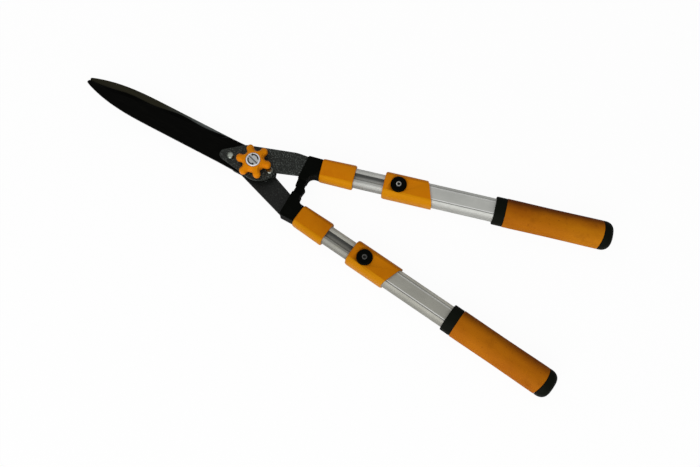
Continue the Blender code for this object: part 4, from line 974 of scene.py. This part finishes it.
class SHEARS_OT_grips(ShearsOperator, Operator):
    """Model the soft grips with their collars and end caps"""
    bl_idname = "shears.grips"
    bl_label = "Grips"

    def execute(self, context):
        sizes = context.scene.shears_sizes
        for side, name in SIDES:
            for label, stations, node, finish, slot in (
                    ("_grip_rubber", self.grip(sizes), "_grip", "Grip rubber " + name,
                     "orange_grip"),
                    ("_collar_ring", self.collar(sizes), "_grip_collar", "Black rubber",
                     "black_plastic"),
                    ("_cap_dome", self.cap(sizes), "_end_cap", "Black rubber", "black_plastic")):
                bm = sweep(stations, closed=label != "_cap_dome")
                bmesh.ops.transform(bm, matrix=handle_matrix(side), verts=bm.verts)
                finish_piece(name + label, bm, finish, name + node, slot)
        return {"FINISHED"}

    def collar(self, sizes):
        """Ring with a rolled front lip."""
        lip, edge = 0.0014, sizes.seam_round * 0.6
        rear = COLLAR_START + COLLAR_LENGTH - GAP
        stations = [(COLLAR_START, bore_section)]
        for angle in (0.0, 0.4, 0.8, 1.2, math.pi / 2):
            stations.append((COLLAR_START + lip * (1 - math.cos(angle)),
                             grip_section(sizes, 2 * (GAP + lip * (1 - math.sin(angle))))))
        return stations + [(rear - edge, grip_section(sizes, 2 * GAP)),
                           (rear, grip_section(sizes, 2 * (GAP + edge))), (rear, bore_section)]

    def cap(self, sizes):
        """Domed end with a soft edge at the bowed seam."""
        edge = sizes.seam_round * 0.7
        stations = [(seam_place(GAP), grip_section(sizes, scale=share))
                    for share in (0.02, 0.3, 0.6, 0.85)]
        for outward, shrink in ((0.0, 2.0), (0.3, 0.6), (1.0, 0.0)):
            stations.append((seam_place(GAP + edge * outward), grip_section(sizes, edge * shrink)))
        for step in range(13):
            angle = 0.12 + 1.42 * step / 12
            stations.append((SEAM + GAP + CAP_LENGTH * math.sin(angle),
                             grip_section(sizes, scale=max(0.02, math.cos(angle)) ** 0.55)))
        return stations

    def grip(self, sizes):
        """Sleeve with a slight waist, soft edges and a bowed rear end."""
        edge = sizes.seam_round
        rim = ((0.0, 2.4), (0.3, 0.7), (1.0, 0.0))
        start = COLLAR_START + COLLAR_LENGTH
        stations = [(start + edge * inward, grip_section(sizes, edge * shrink))
                    for inward, shrink in rim]
        for share in (0.12, 0.3, 0.5, 0.7, 0.88):
            waist = 2 * sizes.grip_waist * math.sin(math.pi * share) ** 2
            stations.append((start + (GRIP_LENGTH - SEAM_BOW) * share, grip_section(sizes, waist)))
        stations += [(seam_place(-edge * inward), grip_section(sizes, edge * shrink))
                     for inward, shrink in reversed(rim)]
        return stations + [(seam_place(0.0), bore_section), (start, bore_section)]


class SHEARS_OT_stage(ShearsOperator, Operator):
    """Set up the floor, the light and the camera"""
    bl_idname = "shears.stage"
    bl_label = "Stage"

    def execute(self, context):
        stage = context.scene.shears_stage
        self.floor(stage)
        self.light(stage)
        self.camera(stage)
        context.scene.view_settings.view_transform = "Standard"
        return {"FINISHED"}

    def floor(self, stage):
        bm = bmesh.new()
        bmesh.ops.create_grid(bm, x_segments=1, y_segments=1, size=6.0)
        shift(bm, 0.2, 0.0, -0.0002)
        mesh = bpy.data.meshes.new("Floor")
        bm.to_mesh(mesh)
        bm.free()
        material = bpy.data.materials.new("Pale floor")
        material.use_nodes = True
        mesh.materials.append(material)
        tree = material.node_tree
        tree.nodes.remove(tree.nodes["Principled BSDF"])
        paper = build("ShaderNodeBsdfDiffuse", {"Color": (0.86, 0.86, 0.86)}, tree)
        glow = build("ShaderNodeEmission", {"Color": (1.0, 1.0, 1.0)}, tree)
        seen = build("ShaderNodeLightPath", {}, tree).outputs["Is Camera Ray"]
        blend = build("ShaderNodeMixShader", {0: times(seen, stage.floor_glow),
                                              1: paper.outputs[0], 2: glow.outputs[0]})
        feed(tree.nodes["Material Output"], {"Surface": blend.outputs[0]})
        floor = add_object("Floor", mesh)

    def light(self, stage):
        """Surroundings that light with the sky's strength and look plain white, and two lamps."""
        world = bpy.data.worlds.new("Plain surroundings")
        world.use_nodes = True
        seen = build("ShaderNodeLightPath", {}, world.node_tree).outputs["Is Camera Ray"]
        strength = maths("ADD", times(seen, 1.0 - stage.sky), stage.sky)
        feed(world.node_tree.nodes["Background"], {"Color": (1.0, 1.0, 1.0), "Strength": strength})
        bpy.context.scene.world = world
        self.lamp("Key light", stage.key_power, (0.35, -1.65, 1.0), 2.0)
        self.lamp("Fill light", stage.fill_power, (-0.7, 0.5, 1.6), 1.0)

    def lamp(self, name, power, place, size):
        lamp = bpy.data.lights.new(name, "AREA")
        lamp.energy = power
        lamp.size = size
        item = add_object(name, lamp)
        item.location = place
        toward = Vector((0.1, 0.0, 0.0)) - Vector(place)
        item.rotation_euler = toward.to_track_quat("-Z", "Y").to_euler()

    def camera(self, stage):
        azimuth, elevation = stage.camera_azimuth, stage.camera_elevation
        right = Vector((math.cos(azimuth), math.sin(azimuth), 0.0))
        back = Vector((math.sin(azimuth) * math.cos(elevation),
                       -math.cos(azimuth) * math.cos(elevation), math.sin(elevation)))
        facing = Matrix((right, back.cross(right), back)).transposed().to_4x4()
        lens = bpy.data.cameras.new("Camera")
        lens.lens = stage.lens
        lens.sensor_width = 36.0
        lens.sensor_fit = "HORIZONTAL"
        lens.clip_start = 0.01
        camera = add_object("Camera", lens)
        camera.matrix_world = Matrix.Translation(stage.camera_place) @ facing
        bpy.context.scene.camera = camera


OPERATORS = (SHEARS_OT_finishes, SHEARS_OT_blades, SHEARS_OT_pivot, SHEARS_OT_tubes,
             SHEARS_OT_locks, SHEARS_OT_grips, SHEARS_OT_stage)


class SHEARS_PT_panel(Panel):
    """Lists the steps, colours, sizes and stage"""
    bl_idname = "SHEARS_PT_panel"
    bl_label = "Hedge shears"
    bl_space_type = "VIEW_3D"
    bl_region_type = "UI"
    bl_category = "Shears"

    def draw(self, context):
        for operator in OPERATORS:
            self.layout.operator(operator.bl_idname)
        for settings in (context.scene.shears_colours, context.scene.shears_sizes,
                         context.scene.shears_stage):
            box = self.layout.box()
            for name in settings.__annotations__:
                box.prop(settings, name)


CLASSES = (ShearsColours, ShearsSizes, ShearsStage, *OPERATORS, SHEARS_PT_panel)


def register():
    for item in CLASSES:
        bpy.utils.register_class(item)
    bpy.types.Scene.shears_colours = PointerProperty(type=ShearsColours)
    bpy.types.Scene.shears_sizes = PointerProperty(type=ShearsSizes)
    bpy.types.Scene.shears_stage = PointerProperty(type=ShearsStage)


def unregister():
    del bpy.types.Scene.shears_stage
    del bpy.types.Scene.shears_sizes
    del bpy.types.Scene.shears_colours
    for item in reversed(CLASSES):
        bpy.utils.unregister_class(item)


def main():
    register()
    bpy.ops.shears.finishes()
    bpy.ops.shears.blades()
    bpy.ops.shears.pivot()
    bpy.ops.shears.tubes()
    bpy.ops.shears.locks()
    bpy.ops.shears.grips()
    bpy.ops.shears.stage()


if __name__ == "__main__":
    main()
